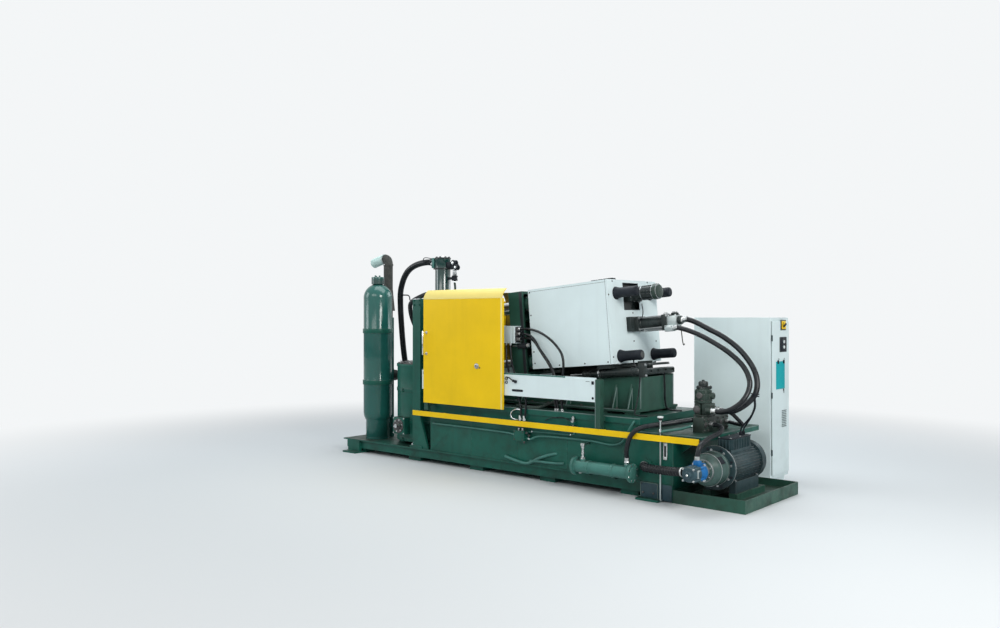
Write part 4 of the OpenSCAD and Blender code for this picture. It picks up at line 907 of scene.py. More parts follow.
# %% Pump motor trim
with piece("motor_trim", ["motor_grey", "zinc_plate", "black_plastic"], slot="green_paint") as bm:
    cx, cz = MOTOR_X, MOTOR_Z
    back = facing((cx, 256, cz), REAR)
    turned(bm, [(150, 0), (182, 0), (182.6, 1), (182.6, 3), (150, 3)], back, 48)
    for r in (40, 62, 84, 106, 128, 150, 168):
        turned(bm, [(r, 2), (r + 7, 2), (r + 7, 5), (r, 5)], back, 48)
    for k in range(8):
        spoke = back @ turn_of(k / 8)
        block(bm, (20, -5, 1), (178, 5, 5.5), 1, spoke, 0, 1)
    for y in (181, 189, 249):
        turned(bm, [(183, 0), (185, 0.5), (185, 4), (183, 4.5)], facing((cx, y, cz), REAR), 64)
    bolt_ring(bm, HEX, (cx, -430, cz), FRONT, 178, 8, 12, HERE, 0.39, 2)
    turned(bm, [(198, 0), (200, 0.6), (200, 5), (198, 5.6)], facing((cx, -411, cz), REAR), 64, 1)
    for y in (-403, 172):
        turned(bm, [(163, 0), (171, 1), (171, 10), (163, 11)], facing((cx, y, cz), REAR), 48)
    bolt_ring(bm, HEX, (cx, 178, cz), REAR, 150, 4, 9, HERE, 0.785, 1)
    block(bm, (cx - 20, -334, 594), (cx + 116, 74, 606), 4, mat=2)
    stamp_all(bm, HEX, (cx - 8, cx + 104), (-322, -130, 62), (606,), UP, 8, mat=1)
    for k in range(11):
        y = -316 + k * 34
        block(bm, (cx + 110, y, 500), (cx + 124, y + 9, 592), 2, rounds=1)
    for k in range(4):
        block(bm, (cx - 6 + k * 32, -340, 505), (cx + 4 + k * 32, -328, 590), 2, rounds=1)
    block(bm, (cx + 8, -352, 470), (cx + 104, -328, 500), 3, mat=2)
    for y in (-40, 20):
        gland = facing((cx + 66, y, 606), UP)
        drum(bm, 34, 0, 8, gland, 2, 6, 2)
        drum(bm, 30, 7, 24, gland, 3, 16, 2)
        drum(bm, 36, 23, 32, gland, 3, 6, 2)
    for s in (-1, 1):
        for y in (-300, 140):
            block(bm, (cx + s * 120 - 26, y - 22, 218), (cx + s * 120 + 26, y + 22, 230), 3)
            stamp(bm, HEX, (cx + s * 134, y, 221), UP, 14, mat=1)

# %% [markdown]
# The two thin cables come down from the large hoses to the terminal box and end in its glands. They
# are short, stay on the machine, and sag a little, so they are plain tubes along a sampled curve.

# %% Motor cables
with piece("motor_cables", ["black_plastic"], slot="black_plastic") as bm:
    for k, (x0, y0) in enumerate(((3628, -118), (3640, -132))):
        end = (MOTOR_X + 66, -40 + 60 * k)
        run = smooth_route([(x0 - 4, y0, 1010), (x0, y0 - 2, 960), (x0 - 8, y0 + 16, 880),
                            (x0 - 60, y0 + 50, 790),
                            (end[0] + 30, end[1] - 4, 700), (end[0] + 4, end[1], 660),
                            (end[0], end[1], 632)], 12)
        tube(bm, run, 15, 0, 4)
    for z in (1004, 985):
        turned(bm, [(36, -5), (38.5, -4), (38.5, 4), (36, 5)], facing((3634, -122, z), (0.05, 0.1, 1)), 24)

# %% [markdown]
# ## Pump and bell housing
# The vane pump is a short blue casting with a square flange, a round cover with a boss and long
# screws through it. It hangs on the bell housing, a turned casting whose flange shows bare metal.

# %% Pump
with piece("vane_pump", ["blue_paint", "zinc_plate", "slate_paint", "galvanised"], slot="blue_paint",
           replaces=("pump",), smooth=35) as bm:
    at = facing((MOTOR_X, -700, MOTOR_Z), FRONT)
    turned(bm, [(0, 0), (78, 0), (80, 3), (80, 22), (70, 27), (64, 34), (64, 96), (0, 96)], at, 48)
    turned(bm, [(0, 95), (66, 96), (72, 101), (74, 106), (74, 150), (66, 158), (66, 200), (60, 210),
                (34, 214), (32, 226),
                (28, 230), (0, 230)], at, 48, 2)
    block(bm, (MOTOR_X + 50, -868, 312), (MOTOR_X + 69, -822, 384), 3, mat=3)
    block(bm, (MOTOR_X - 66, -724, 268), (MOTOR_X + 58, -700, 428), 10, rounds=3)
    block(bm, (MOTOR_X - 72, -812, 288), (MOTOR_X - 26, -740, 402), 9, rounds=3)
    block(bm, (MOTOR_X - 30, -776, 400), (MOTOR_X + 30, -722, 448), 8, rounds=3)
    for s in (-1, 1):
        for t in (-1, 1):
            lug = at @ upright(s * 50, t * 50)
            drum(bm, 26, 20, 96, lug, 3, 16)
            drum(bm, 26, 96, 208, lug, 4, 16, 2)
            stamp(bm, SOCKET, at @ Vector((s * 50, t * 50, 208)), FRONT, 12, mat=1)
            stamp(bm, HEX, (MOTOR_X + s * 52, -724, MOTOR_Z + t * 66), FRONT, 12, mat=1)
    drum(bm, 22, 0, 14, facing((MOTOR_X, -930, MOTOR_Z), FRONT), 3, 6, 1)
    face = facing((MOTOR_X - 70, -780, 341), LEFT)
    turned(bm, [(0, 0), (50, 0), (52, 3), (52, 14), (48, 16), (0, 16)], face, 32)
    bolt_ring(bm, SOCKET, (MOTOR_X - 72, -776, MOTOR_Z), LEFT, 54, 4, 10, HERE, 0.785, 1)
    drum(bm, 56, 0, 16, facing((MOTOR_X, -750, 440), UP), 4, 24)
    turned(bm, [(0, -655), (74, -655), (74, -705), (0, -705)], facing((MOTOR_X, 0, MOTOR_Z), REAR), 40, 1)

# %% Bell housing
with piece("bell", ["cover_green", "bare_steel", "black_plastic"], slot="light_green_paint",
           replaces=("bell_housing",)) as bm:
    at = facing((MOTOR_X, -655, MOTOR_Z), REAR)
    turned(bm, [(55, 0), (90, 0), (94, 3), (96, 18), (100, 24), (126, 40), (141, 60), (146, 72), (147, 176),
                (150, 184), (155, 190),
                (155, 222), (153, 225), (56, 225), (55, 0)], at, 64)
    turned(bm, [(96, 2), (98.5, 4), (100, 20), (96, 20)], at, 64, 1)
    turned(bm, [(150, 196), (156, 197), (156, 201), (150, 202)], at, 64, 1)
    turned(bm, [(146.5, 80), (148.4, 81), (148.4, 86), (146.5, 87)], at, 64, 1)
    bolt_ring(bm, SOCKET, (MOTOR_X, -655, MOTOR_Z), FRONT, 80, 6, 10, HERE, 0.4, 1)
    for k in range(8):
        angle = math.tau * k / 8 + 0.2
        stamp(bm, HEX, (MOTOR_X + 162 * math.cos(angle), -430, MOTOR_Z + 162 * math.sin(angle)), FRONT, 11,
              mat=1)
    block(bm, (-36, 144, 92), (36, 149.5, 168), 2, at @ Matrix.Rotation(0.9, 4, "Z"), 2)

# %% [markdown]
# ## Oil cooler
# A shell-and-tube cooler: a long tube with water boxes bolted on at both ends and weld rings in
# between. The steel straps that hold it are the frame's. Its ports get hexagon nipples.

# %% Cooler trim
with piece("shell_cooler", ["light_green_paint", "zinc_plate"], slot="light_green_paint", smooth=30) as bm:
    at = facing((2020, -680, 245), RIGHT)
    left = [(0, -14), (40, -13), (54, -8), (58, -2), (88, -2), (91, 1), (91, 10), (88, 11), (91, 12),
            (91, 21), (89, 24), (65, 24),
            (62, 29), (61, 35)]
    ring = [(61, -12), (66, -8), (67, 0), (66, 8), (61, 12)]
    turned(bm, left + [(r, z + at_x) for at_x in (170, 450) for r, z in ring] + [(r, 670 - z) for r,
                                                                                 z in reversed(left)], at, 48)
    for x, way in ((2020 + 6, LEFT), (2690 - 6, RIGHT)):
        bolt_ring(bm, HEX, (x, -680, 245), way, 76, 8, 11, HERE, 0.39, 1)
    for x in (2118, 2623):
        port = Matrix.Translation((x, -680, 245))
        drum(bm, 50, 52, 72, port, 3, 20)
        drum(bm, 44, 70, 88, port, 3, 6, 1)
    drum(bm, 30, 0, 12, facing((2085, -680, 186), DOWN), 3, 6, 1)
    for x in (2180, 2480):
        block(bm, (x, -680, 165), (x + 14, -572, 187), 2)
        strap = [(x + 7, -680 + 62 * math.cos(a),
                  245 + 62 * math.sin(a)) for a in [math.pi * k / 24 - 0.4 for k in range(30)]]
        tube(bm, [Vector(p) for p in strap], 5, 0, 2)

# %% [markdown]
# ## Shot cylinder
# The upright cylinder over the pot drives the plunger that presses the melt through the gooseneck.
# It is the glossiest part of the machine: a tube between a foot flange and a long head, with a thin
# dark ring between them, eight bolts on top, a hose flange on the left and two adjusting knobs on
# the right. The knobs turn about a cross axis, so their bright hubs look at the operator.

# %% Shot cylinder
with piece("injection_cylinder", ["deep_green", "zinc_plate", "oily_black", "light_green_paint"],
           slot="green_paint", replaces=("shot_cylinder",), smooth=30) as bm:
    x, foot, ring = -490, 1920, 2295
    at = upright(x, 0)
    turned(bm, [(0, foot), (138, foot), (140, foot + 3), (140, foot + 37), (137, foot + 40),
                (104, foot + 40), (98, foot + 44), (95, foot + 52),
                (95, ring), (0, ring)], at, 64)
    bolt_ring(bm, SOCKET, (x, 0, foot + 40), UP, 120, 8, 16, HERE, 0.39, 1)
    turned(bm, [(95, foot + 70), (97, foot + 71), (97, foot + 79), (95, foot + 80)], at, 64, 1)
    turned(bm, [(90, ring), (116, ring), (118, ring + 2), (118, ring + 14), (116, ring + 16),
                (90, ring + 16)], at, 64, 2)
    turned(bm, [(0, ring + 15), (94, ring + 15), (94, ring + 104), (96, ring + 108), (97, ring + 128),
                (0, ring + 128)], at, 64)
    turned(bm, [(0, ring + 128), (98, ring + 128), (100, ring + 131), (100, ring + 142), (97, ring + 145),
                (40, ring + 145), (38, ring + 149),
                (20, ring + 150), (0, ring + 150)], at, 64, 2)
    for k in range(8):
        angle = math.tau * (k + 0.5) / 8
        spot = (x + 82 * math.cos(angle), 82 * math.sin(angle), ring + 145)
        stamp(bm, HEX, spot, UP, 13.5, HERE, angle * 2.1, 2)
    drum(bm, 26, ring + 149, ring + 166, at, 3, 6, 1)
    block(bm, (x - 112, -70, 2315), (x - 80, 70, 2435), 4, mat=3)
    block(bm, (x - 118, -66, 2319), (x - 110, 66, 2431), 3)
    stamp_all(bm, HEX, (x - 117,), (-50, 50), (2335, 2415), LEFT, 11, mat=1)
    drum(bm, 92, 80, 119, facing((x, 0, 2375), LEFT), 4, 32)
    for y in (-70, 70):
        block(bm, (x - 121, y - 5 if y < 0 else y - 3, 2312), (x - 78, y + 3 if y < 0 else y + 5, 2438), 2,
              mat=3)
    drum(bm, 74, 70, 112, facing((x, -40, 1997), LEFT), 4, 32)
    drum(bm, 84, 96, 108, facing((x, -40, 1997), LEFT), 3, 32, 1)

with piece("shot_valve_and_rod", ["black_plastic", "zinc_plate", "bare_steel", "oily_green"],
           slot="green_paint") as bm:
    x = -490
    block(bm, (x + 80, -35, 2310), (x + 180, 35, 2380), 5)
    block(bm, (x + 130, -42, 2318), (x + 168, 42, 2372), 4)
    block(bm, (x + 150, -30, 2290), (x + 250, 30, 2350), 6)
    for kx, kz, d, half in ((x + 200, 2365, 74, 35), (x + 240, 2310, 64, 30)):
        for s in (-1, 1):
            at = facing((kx, s * 6, kz), (0, s, 0))
            turned(bm, [(0, 0), (d * 0.34, 0), (d * 0.34, 6), (d / 2 - 3, 7), (d / 2, 10),
                        (d / 2, half - 12), (d / 2 - 3, half - 8),
                        (d * 0.3, half - 7), (0, half - 7)], at, 12)
            turned(bm, [(0, half - 8), (d * 0.28, half - 8), (d * 0.28, half - 3), (d * 0.22, half - 1),
                        (0, half - 1)], at, 24, 1)
            for k in range(10):
                block(bm, (d / 2 - 3, -3, 11), (d / 2 + 1.5, 3, half - 13), 1.2,
                      at @ turn_of(k / 10), 0, 1)
    low = upright(x + 205, 0)
    turned(bm, [(0, 2210), (24, 2210), (25, 2212), (25, 2250), (22, 2254), (22, 2268), (25, 2272),
                (25, 2290), (0, 2292)], low, 32, 2)
    drum(bm, 76, 2150, 2166, low, 4, 32)
    drum(bm, 66, 2165, 2196, low, 3, 8)
    drum(bm, 76, 2195, 2211, low, 4, 32)
    block(bm, (x + 80, -20, 2165), (x + 210, 20, 2195), 3)
    bend = smooth_route([(x + 205, 0, 2152), (x + 205, 0, 2120), (x + 211, 0, 2080), (x + 214, -2, 2030),
                         (x + 210, 0, 1980),
                         (x + 205, 0, 1950), (x + 205, 0, 1930)], 10)
    tube(bm, bend, 28, 3, 4)
    for z in (2128, 1962):
        turned(bm, [(13, z), (18, z + 1), (18, z + 13), (13, z + 14)], low, 6, 1)
    block(bm, (x + 110, -25, 1930), (x + 225, 25, 1950), 3)
    stamp(bm, HEX, (x + 155, 0, 1950), UP, 12, mat=1)
    loop = smooth_route([(x - 112, -62, 2428), (x - 140, -66, 2432), (x - 190, -68, 2442),
                         (x - 240, -66, 2447), (x - 276, -60, 2441),
                         (x - 292, -56, 2420), (x - 286, -54, 2396), (x - 262, -58, 2392),
                         (x - 210, -64, 2410), (x - 150, -66, 2422),
                         (x - 118, -64, 2420)], 8)
    tube(bm, loop, 10, 0, 3)
    link = smooth_route([(-884, -146, 1890), (-908, -130, 1906), (-950, -105, 1912), (-1010, -70, 1925),
                         (-1060, -30, 1960),
                         (-1120, 0, 1985), (-1200, 20, 1990), (-1262, 22, 1992)], 12)
    tube(bm, link, 16, 0, 3)
    drum(bm, 45, 1152, 1640, upright(x, 0), 1, 32, 2)
    turned(bm, [(22, 1640), (52, 1640), (55, 1643), (55, 1690), (50, 1694), (50, 1700), (55, 1704),
                (55, 1744), (52, 1746), (35, 1746),
                (35, 1921), (0, 1921)], upright(x, 0), 40, 2)

# %% [markdown]
# ## Gas bottle
# The nitrogen bottle is a forged shell with a round shoulder. Two clamp straps hold it to its post,
# each closed with a pair of bolts. Its neck is closed by a screwed cap that carries the gas valve.

# %% Bottle trim
with piece("bottle_trim", ["green_paint", "zinc_plate", "gloss_green", "gauge_white", "black_plastic",
                           "deep_green"], slot="green_paint") as bm:
    cx, cy = -1350, -310
    at = upright(cx, cy)
    for z in (850, 1500):
        turned(bm, [(181, z + 2), (189, z + 2), (190, z + 5), (190, z + 55), (189, z + 58), (181, z + 58)],
               at, 64)
        for s in (-1, 1):
            block(bm, (cx - 66, cy + 150 + s * 4 - 3, z + 4), (cx + 66, cy + 150 + s * 4 + 3, z + 56), 2)
        for x in (cx - 50, cx + 50):
            stamp(bm, HEX, (x, cy + 143, z + 30), FRONT, 12, mat=1)
    z = 2104
    turned(bm, [(0, z), (60, z), (60, z + 16), (77, z + 18), (81, z + 23), (81, z + 92), (77, z + 97),
                (0, z + 98)], at, 48, 5)
    bolt_ring(bm, SOCKET, (cx, cy, z + 97), UP, 58, 6, 9, HERE, 0.2, 4)
    turned(bm, [(0, z + 96), (20, z + 96), (20, z + 112), (14, z + 114), (14, z + 124), (0, z + 124)],
           upright(cx, cy - 30), 6, 4)
    drum(bm, 26, z + 96, z + 116, upright(cx, cy + 30), 3, 16, 2)
    turned(bm, [(141, 168), (152, 168), (152, 190), (141, 190)], at, 48, 2)
    block(bm, (-1402, 176, 165), (-1378, 220, 294), 3, mat=2)
    valve = upright(-1390, 300)
    drum(bm, 110, 360, 372, valve, 3, 32, 1)
    stamp_all(bm, SOCKET, (-1455, -1325), (235, 365), (295,), UP, 12, mat=1)
    stamp_all(bm, SOCKET, (-1470,), (270, 330), (205, 255), LEFT, 10, mat=1)

# %% [markdown]
# ## Flue
# The exhaust pipe leaves the furnace low at the back, turns up and ends high over the machine, where
# a light flexible duct is pushed on it. Pipe and bends are one line with a round section. Heat has
# darkened it, so it is given the scorched finish. The duct is crimped foil: its radius goes up and
# down in fine rings and is dented a little, with seeded random numbers.

# %% Flue pipe and duct end
def arc(centre, radius, start, end, count=14):
    """Points on an arc in the plane of X and Z, angles in degrees."""
    out = []
    for k in range(count + 1):
        a = math.radians(start + (end - start) * k / count)
        out.append(Vector((centre[0] + radius * math.cos(a), 0, centre[1] + radius * math.sin(a))))
    return out

with piece("flue", ["rusty_duct", "foil_duct", "zinc_plate"], slot="rusty_duct", replaces=("flue_stub",),
           smooth=50) as bm:
    dice = random.Random(7)
    x, low, top = -1502, 950, 2390
    line = [Vector((-1090 - 20 * k, 0, low)) for k in range(15)] + arc((x + 130, low + 130), 130, 270, 180, 3)
    line += [Vector((x, 0, z)) for z in range(low + 150, top, 20)] + arc((x - 62, top + 20), 62, 0, 90, 6)
    tube(bm, line, 120, 0, 12)
    at = upright(x, 0)
    turned(bm, [(59, 1788), (86, 1788), (88, 1791), (88, 1800), (84, 1830), (74, 1930), (66, 2010),
                (62, 2056), (60, 2060)], at, 40)
    for z in (low + 130, 1500, top):
        turned(bm, [(59, z - 11), (66, z - 11), (66, z + 11), (59, z + 11)], at, 40)
        stamp(bm, HEX, (x, -70, z), FRONT, 8, mat=2)
    for cx in (x + 130, -1092):
        way = facing((cx, 0, low), RIGHT)
        turned(bm, [(59, -11), (68, -11), (69, -8), (69, 8), (68, 11), (59, 11)], way, 40)
    turned(bm, [(62, -32), (78, -32), (80, -29), (80, -18), (78, -15), (62, -15)],
           facing((-1072, 0, low), RIGHT), 40)
    for k in range(6):
        a = math.tau * (k + 0.5) / 6
        stamp(bm, HEX, (-1104, 71 * math.cos(a), low + 71 * math.sin(a)), LEFT, 7, mat=2)
    rings = [Vector((x - 60 - 3.0 * k, 0, top + 82 - 0.8 * k * k / (k + 12))) for k in range(75)]
    dents = [1 + 0.035 * math.cos(k * math.tau / 4) - 0.03 * dice.random() for k in range(75)]
    tube(bm, rings, 122, 1, 10, swell=lambda i: dents[i])
    clip = facing((x - 74, 0, top + 81), LEFT)
    turned(bm, [(60, -6), (63, -6), (64, -4), (64, 4), (63, 6), (60, 6)], clip, 40, 2)
    turned(bm, [(55, -6), (61, -6), (62, -4), (62, 0), (55, 0)], facing(rings[-1], rings[-1] - rings[-4]),
           40, 1)

# %% [markdown]
# ## Furnace top and burner
# The casing is rolled sheet with flat hoops. On top lies a ring of lid plates round the pot, with
# lifting lugs. The gas burner sits on its box low on the operator's side, with its flange, a gas
# valve and a short stub of pipe. A thermocouple head stands at the rim.

# %% Furnace trim
with piece("furnace_trim", ["green_paint", "zinc_plate", "black_plastic", "dark_iron", "oily_green"],
           slot="green_paint") as bm:
    cx, rim = -620, 1135
    at = upright(cx, 0)
    for z in (205, 420, 800):
        turned(bm, [(470, z + 3), (477, z + 3), (477.6, z + 5), (477.6, z + 35), (477, z + 37),
                    (470, z + 37)], at, 96)
        for a in (-100, 20, 140):
            turn = at @ Matrix.Rotation(math.radians(a), 4, "Z")
            block(bm, (472, -16, z), (492, -6, z + 40), 2, turn)
            block(bm, (472, 6, z), (492, 16, z + 40), 2, turn)
            tube(bm, [turn @ Vector((484, -24, z + 20)), turn @ Vector((484, 24, z + 20))], 8, 1, 2)
    for k in range(6):
        turn = at @ Matrix.Rotation(math.radians(60 * k + 14), 4, "Z")
        bend = [turn @ Vector((398 * math.cos(a), 398 * math.sin(a),
                               rim + 5)) for a in [math.radians(3 + 54 * j / 12) for j in range(13)]]
        outer = [turn @ Vector((464 * math.cos(a), 464 * math.sin(a),
                                rim + 5)) for a in [math.radians(3 + 54 * j / 12) for j in range(13)]]
        part = bmesh.new()
        low_in = [part.verts.new(p - Vector((0, 0, 5))) for p in bend]
        low_out = [part.verts.new(p - Vector((0, 0, 5))) for p in outer]
        top_in = [part.verts.new(p + Vector((0, 0, 5))) for p in bend]
        top_out = [part.verts.new(p + Vector((0, 0, 5))) for p in outer]
        for j in range(12):
            part.faces.new((top_in[j], top_out[j], top_out[j + 1], top_in[j + 1]))
            part.faces.new((low_in[j], low_in[j + 1], low_out[j + 1], low_out[j]))
            part.faces.new((low_out[j], low_out[j + 1], top_out[j + 1], top_out[j]))
            part.faces.new((low_in[j], top_in[j], top_in[j + 1], low_in[j + 1]))
        for j in (0, 12):
            part.faces.new((low_in[j], low_out[j], top_out[j], top_in[j]))
        bmesh.ops.recalc_face_normals(part, faces=part.faces)
        join(bm, part, HERE, 3)
        mid = turn @ Matrix.Rotation(math.radians(30), 4, "Z")
        lug = [mid @ Vector((430 + 0 * t, 26 * math.cos(t),
                             rim + 8 + 30 * math.sin(t))) for t in [math.pi * j / 12 for j in range(13)]]
        tube(bm, lug, 10, 1, 3)
        for s in (-44, 44):
            stamp(bm, HEX, mid @ Vector((430, s * 2.2, rim + 10)), UP, 10, mat=1)
    for k in range(16):
        a = math.tau * k / 16
        stamp(bm, HEX, (cx + 372 * math.cos(a), 372 * math.sin(a), 1155), UP, 9, mat=3)
    at = facing((-680, -560, 400), FRONT)
    turned(bm, [(46, 0), (84, 0), (86, 2), (86, 12), (84, 14), (46, 14)], at, 40, 3)
    bolt_ring(bm, HEX, (-680, -574, 400), FRONT, 70, 6, 9, HERE, 0.2, 1)
    turned(bm, [(0, -50), (44, -50), (44, 24), (38, 28), (0, 28)], at, 32, 3)
    turned(bm, [(0, 26), (20, 26), (20, 44), (26, 45), (26, 54), (0, 54)], at, 6, 1)
    drum(bm, 30, 0, 46, facing((-640, -562, 402), (0.25, -1, 0.4)), 4, 16, 4)
    stamp_all(bm, HEX, (-768, -592), (-560,), (312, 488), FRONT, 9, mat=1)
    block(bm, (-772, -564, 306), (-588, -560, 494), 1.5)
    head = upright(-300, 300)
    drum(bm, 16, 1140, 1230, head, 1, 16, 1)
    drum(bm, 64, 1226, 1276, head, 6, 24, 4)
    drum(bm, 24, 0, 30, facing((-278, 322, 1250), (1, 1, 0)), 3, 6, 1)
    block(bm, (-330, 280, 1136), (-270, 330, 1148), 2, mat=3)

# %% [markdown]
# ## Bridge bolts and nozzle
# The shot bridge is welded from plate and bolted to the base. Its struts end on the fixed platen
# with big nuts. The gooseneck is clamped by its own yoke, and a heater band goes round the nozzle.

# %% Bridge, gooseneck and nozzle trim
with piece("bridge_trim", ["green_paint", "zinc_plate", "bare_steel", "dark_iron"], slot="green_paint") as bm:
    for s in (-1, 1):
        for x in (-452, -278):
            for y in (548, 516):
                stamp(bm, NUT, (x, s * y, 190), UP, 14, mat=1)
        for x in (-408, -322):
            for z in (1848, 1902):
                stamp(bm, HEX, (x, s * 565, z), (0, s, 0), 14)
            stamp(bm, HEX, (x, s * 470, 1920), UP, 18)
        block(bm, (-430, s * 566 - 4, 1912), (-300, s * 566 + 4, 1921), 1.5, mat=2)
        block(bm, (-140, s * 530 - 34, 1322), (-118, s * 530 + 34, 1478), 3)
        for z in (1345, 1455):
            for y in (-22, 22):
                stamp(bm, HEX, (-140, s * 530 + y, z), LEFT, 12, mat=1)
        for x in (-580, -320):
            stamp(bm, SOCKET, (x, s * 320, 1920), UP, 16, mat=1)
    stamp_all(bm, NUT, (-566, -434), (-135, 135), (1290,), UP, 14, mat=1)
    for s in (-1, 1):
        turned(bm, [(22, 1286), (34, 1286), (34, 1312), (22, 1316)], upright(-490, s * 115), 6, 1)
        turned(bm, [(22, 1802), (34, 1802), (34, 1830), (22, 1830)], upright(-490, s * 115), 6, 1)
    nozzle = lying(0, 0)
    for u in (-290, -262, -234):
        turned(bm, [(28, u), (33, u + 1), (33, u + 21), (28, u + 22)], nozzle, 32, 2)
        block(bm, (u + 4, -5, 32), (u + 18, 5, 42), 1, CLAMP, 1)
    turned(bm, [(50, -318), (60, -318), (62, -315), (62, -304), (60, -301), (50, -301)], nozzle, 32, 3)
    turned(bm, [(74, 1240), (80, 1241), (80, 1249), (30, 1251)], upright(-490, 0), 40, 3)

# %% [markdown]
# ## Rail covers and the painted edge highlights
# Long white covers hide the guards' rails. Square caps and screws hold their ends, and a catch and a
# cable entry sit near the die. Thin strips of lighter paint on the edges of the deck, the shelf and
# the bed's ribs are painted highlights, where those edges catch the light.

# %% Rail cover fittings and edge strips
def oblong(bm, x0, x1, z0, z1, y, out, mat=0):
    """A moulding with round ends and a hollow middle, on a face that looks along the Y axis."""
    part, r = bmesh.new(), (z1 - z0) / 2
    ring = [part.verts.new((cx + r * math.cos(a), 0, (z0 + z1) / 2 + r * math.sin(a)))
            for cx, first in ((x1 - r, -90), (x0 + r, 90))
            for a in (math.radians(first + 22.5 * k) for k in range(9))]
    raised = bmesh.ops.extrude_face_region(part, geom=[part.faces.new(ring)])["geom"]
    bmesh.ops.translate(part, vec=(0, out, 0), verts=[g for g in raised if isinstance(g, bmesh.types.BMVert)])
    bmesh.ops.inset_region(part, faces=[g for g in raised if isinstance(g, bmesh.types.BMFace)],
                           thickness=3, depth=-2)
    bmesh.ops.recalc_face_normals(part, faces=part.faces)
    join(bm, part, upright(0, y), mat)


def washer_ring(bm, centre, way, r, thick, mat=0):
    turned(bm, [(r - thick, 0), (r - thick * 0.8, thick), (r - thick * 0.2, thick), (r, 0)],
           facing(centre, way), 24, mat)

with piece("rail_cover_fittings", ["black_plastic", "light_green_paint"], slot="black_plastic") as bm:
    for s in (-1, 1):
        for x in (-112, 2234):
            block(bm, (x - 13, s * 683 - 3.5, 1050), (x + 13, s * 683 + 3.5, 1082), 2)
            stamp(bm, PAN, (x, s * 680, 917), (0, s, 0), 13)
            drum(bm, 26, 0, 1.5, facing((x, s * 680, 917), (0, s, 0)), 0.5, 20)
        block(bm, (-148, s * 665.8 - 1.6, 1101), (1890, s * 665.8 + 1.6, 1114.5), 1, mat=1)
        block(bm, (1872, s * 672 - 6, 1098), (1890, s * 672 + 6, 1114.5), 1.5, mat=1)
    block(bm, (2150, -682, 1074), (2196, -679, 1078), 0.8)
    oblong(bm, 1209, 1358, 928, 951, -680, -4)
    for z, r in ((1060, 19), (1018, 17)):
        washer_ring(bm, (1134, -680, z), FRONT, r, 7)
    tube(bm, smooth_route([(1136, -684, 1062), (1150, -690, 1072), (1178, -692, 1068), (1205, -692, 1052),
                           (1233, -690, 1038)], 5), 11)
    drum(bm, 26, 0, 18, facing((1233, -680, 1039), FRONT), 3, 20)
    drum(bm, 32, 0, 24, facing((1264, -680, 1032), FRONT), 5, 20)

# Thin strips of lighter paint along edges, the post's side and the base plate's outline: painted highlights.
with piece("rubbed_edges", "worn_edge", slot="light_green_paint") as bm:
    for s in (-1, 1):
        block(bm, (-140, s * 590.4 - 0.8, 741), (2710, s * 590.4 + 0.8, 750.6), 0.6)
        block(bm, (-120, s * 410.4 - 0.8, 791), (2540, s * 410.4 + 0.8, 800.6), 0.6)
        block(bm, (2711, s * 590.4 - 0.8, 624), (3350, s * 590.4 + 0.8, 632.6), 0.6)
        for x in (500, 1100, 1700, 2270, 2450):
            for y0, y1 in ((404, 327), (327, 326)):
                tube(bm, [Vector((x + 8, s * y0, 803)), Vector((x + 8, s * y1, 1003))], 11, 0, 3)
        block(bm, (2543.6, min(s * 324, s * 300), 806), (2545.2, max(s * 324, s * 300), 1112), 0.6)
        block(bm, (2259, s * 680.4 - 0.8, 632), (2268, s * 680.4 + 0.8, 1100), 0.6)
    block(bm, (3349.6, -590, 624), (3351.2, 590, 632.6), 0.6)
    block(bm, (3042, -573, 168), (3051, -571.4, 622), 0.5)
    for z in (8, 158):
        block(bm, (2712, -589.4, z - 3), (2898, -587.6, z + 3), 0.5)
    for x in (2714, 2896):
        block(bm, (x - 3, -589.4, 8), (x + 3, -587.6, 158), 0.5)

# %% [markdown]
# The tank's front carries the cooling water. A cast manifold feeds the die's two lines, an oil tap
# stands on the deck's lip, a valve joins the cooler to the tank and a level gauge has a glass between
# two hollow screws. The small lines are seamless tube, bent cold, so their bends keep a wide radius.

# %% Water and level fittings
with piece("tank_fittings", ["green_paint", "dark_iron", "gauge_white", "zinc_plate"],
           slot="light_green_paint", replaces=("front_fittings",)) as bm:
    block(bm, (1210, -660, 412), (1350, -572, 520), 6, rounds=3)
    for x, z in ((1224, 426), (1336, 426), (1224, 506), (1336, 506)):
        stamp(bm, SOCKET, (x, -660, z), FRONT, 8, mat=1)
    drum(bm, 36, 1349, 1380, Matrix.Translation((0, -620, 440)) @ Matrix.Rotation(math.radians(90), 4, "Y"),
         3)
    for x, y, z in ((1366, -630, 500), (1380, -608, 472), (1352, -650, 404)):
        stamp(bm, NUT, (x, y, z), FRONT, 13, mat=1)
    for x in (1260, 1316):
        drum(bm, 27, 0, 52, Matrix.Translation((x, -611, 620)), 3, mat=2)
        drum(bm, 31, 10, 20, Matrix.Translation((x, -611, 620)), 2, mat=2)
    block(bm, (1926, -622, 630), (1966, -572, 660), 4)
    tap = upright(1946, -606)
    turned(bm, [(0, 600), (11, 600), (13, 606), (13, 630), (9, 634), (9, 656), (13, 660), (13, 690),
                (17, 692), (17, 703),
                (9, 706), (9, 716), (0, 719)], tap, 20, 3)
    washer_ring(bm, (1946, -618, 668), FRONT, 17, 6, 3)
    valve = upright(2118, -680)
    turned(bm, [(0, 335), (22, 335), (22, 343), (11, 346), (11, 362), (17, 364), (17, 382), (12, 385),
                (12, 420), (18, 424),
                (18, 440), (22, 445), (22, 472), (16, 475), (0, 475)], valve, 24, 3)
    drum(bm, 22, 572, 680, Matrix.Translation((2118, 0, 460)) @ Matrix.Rotation(math.radians(90), 4, "X"),
         2, mat=3)
    stamp(bm, HEX, (2118, -697, 460), FRONT, 14, mat=3)

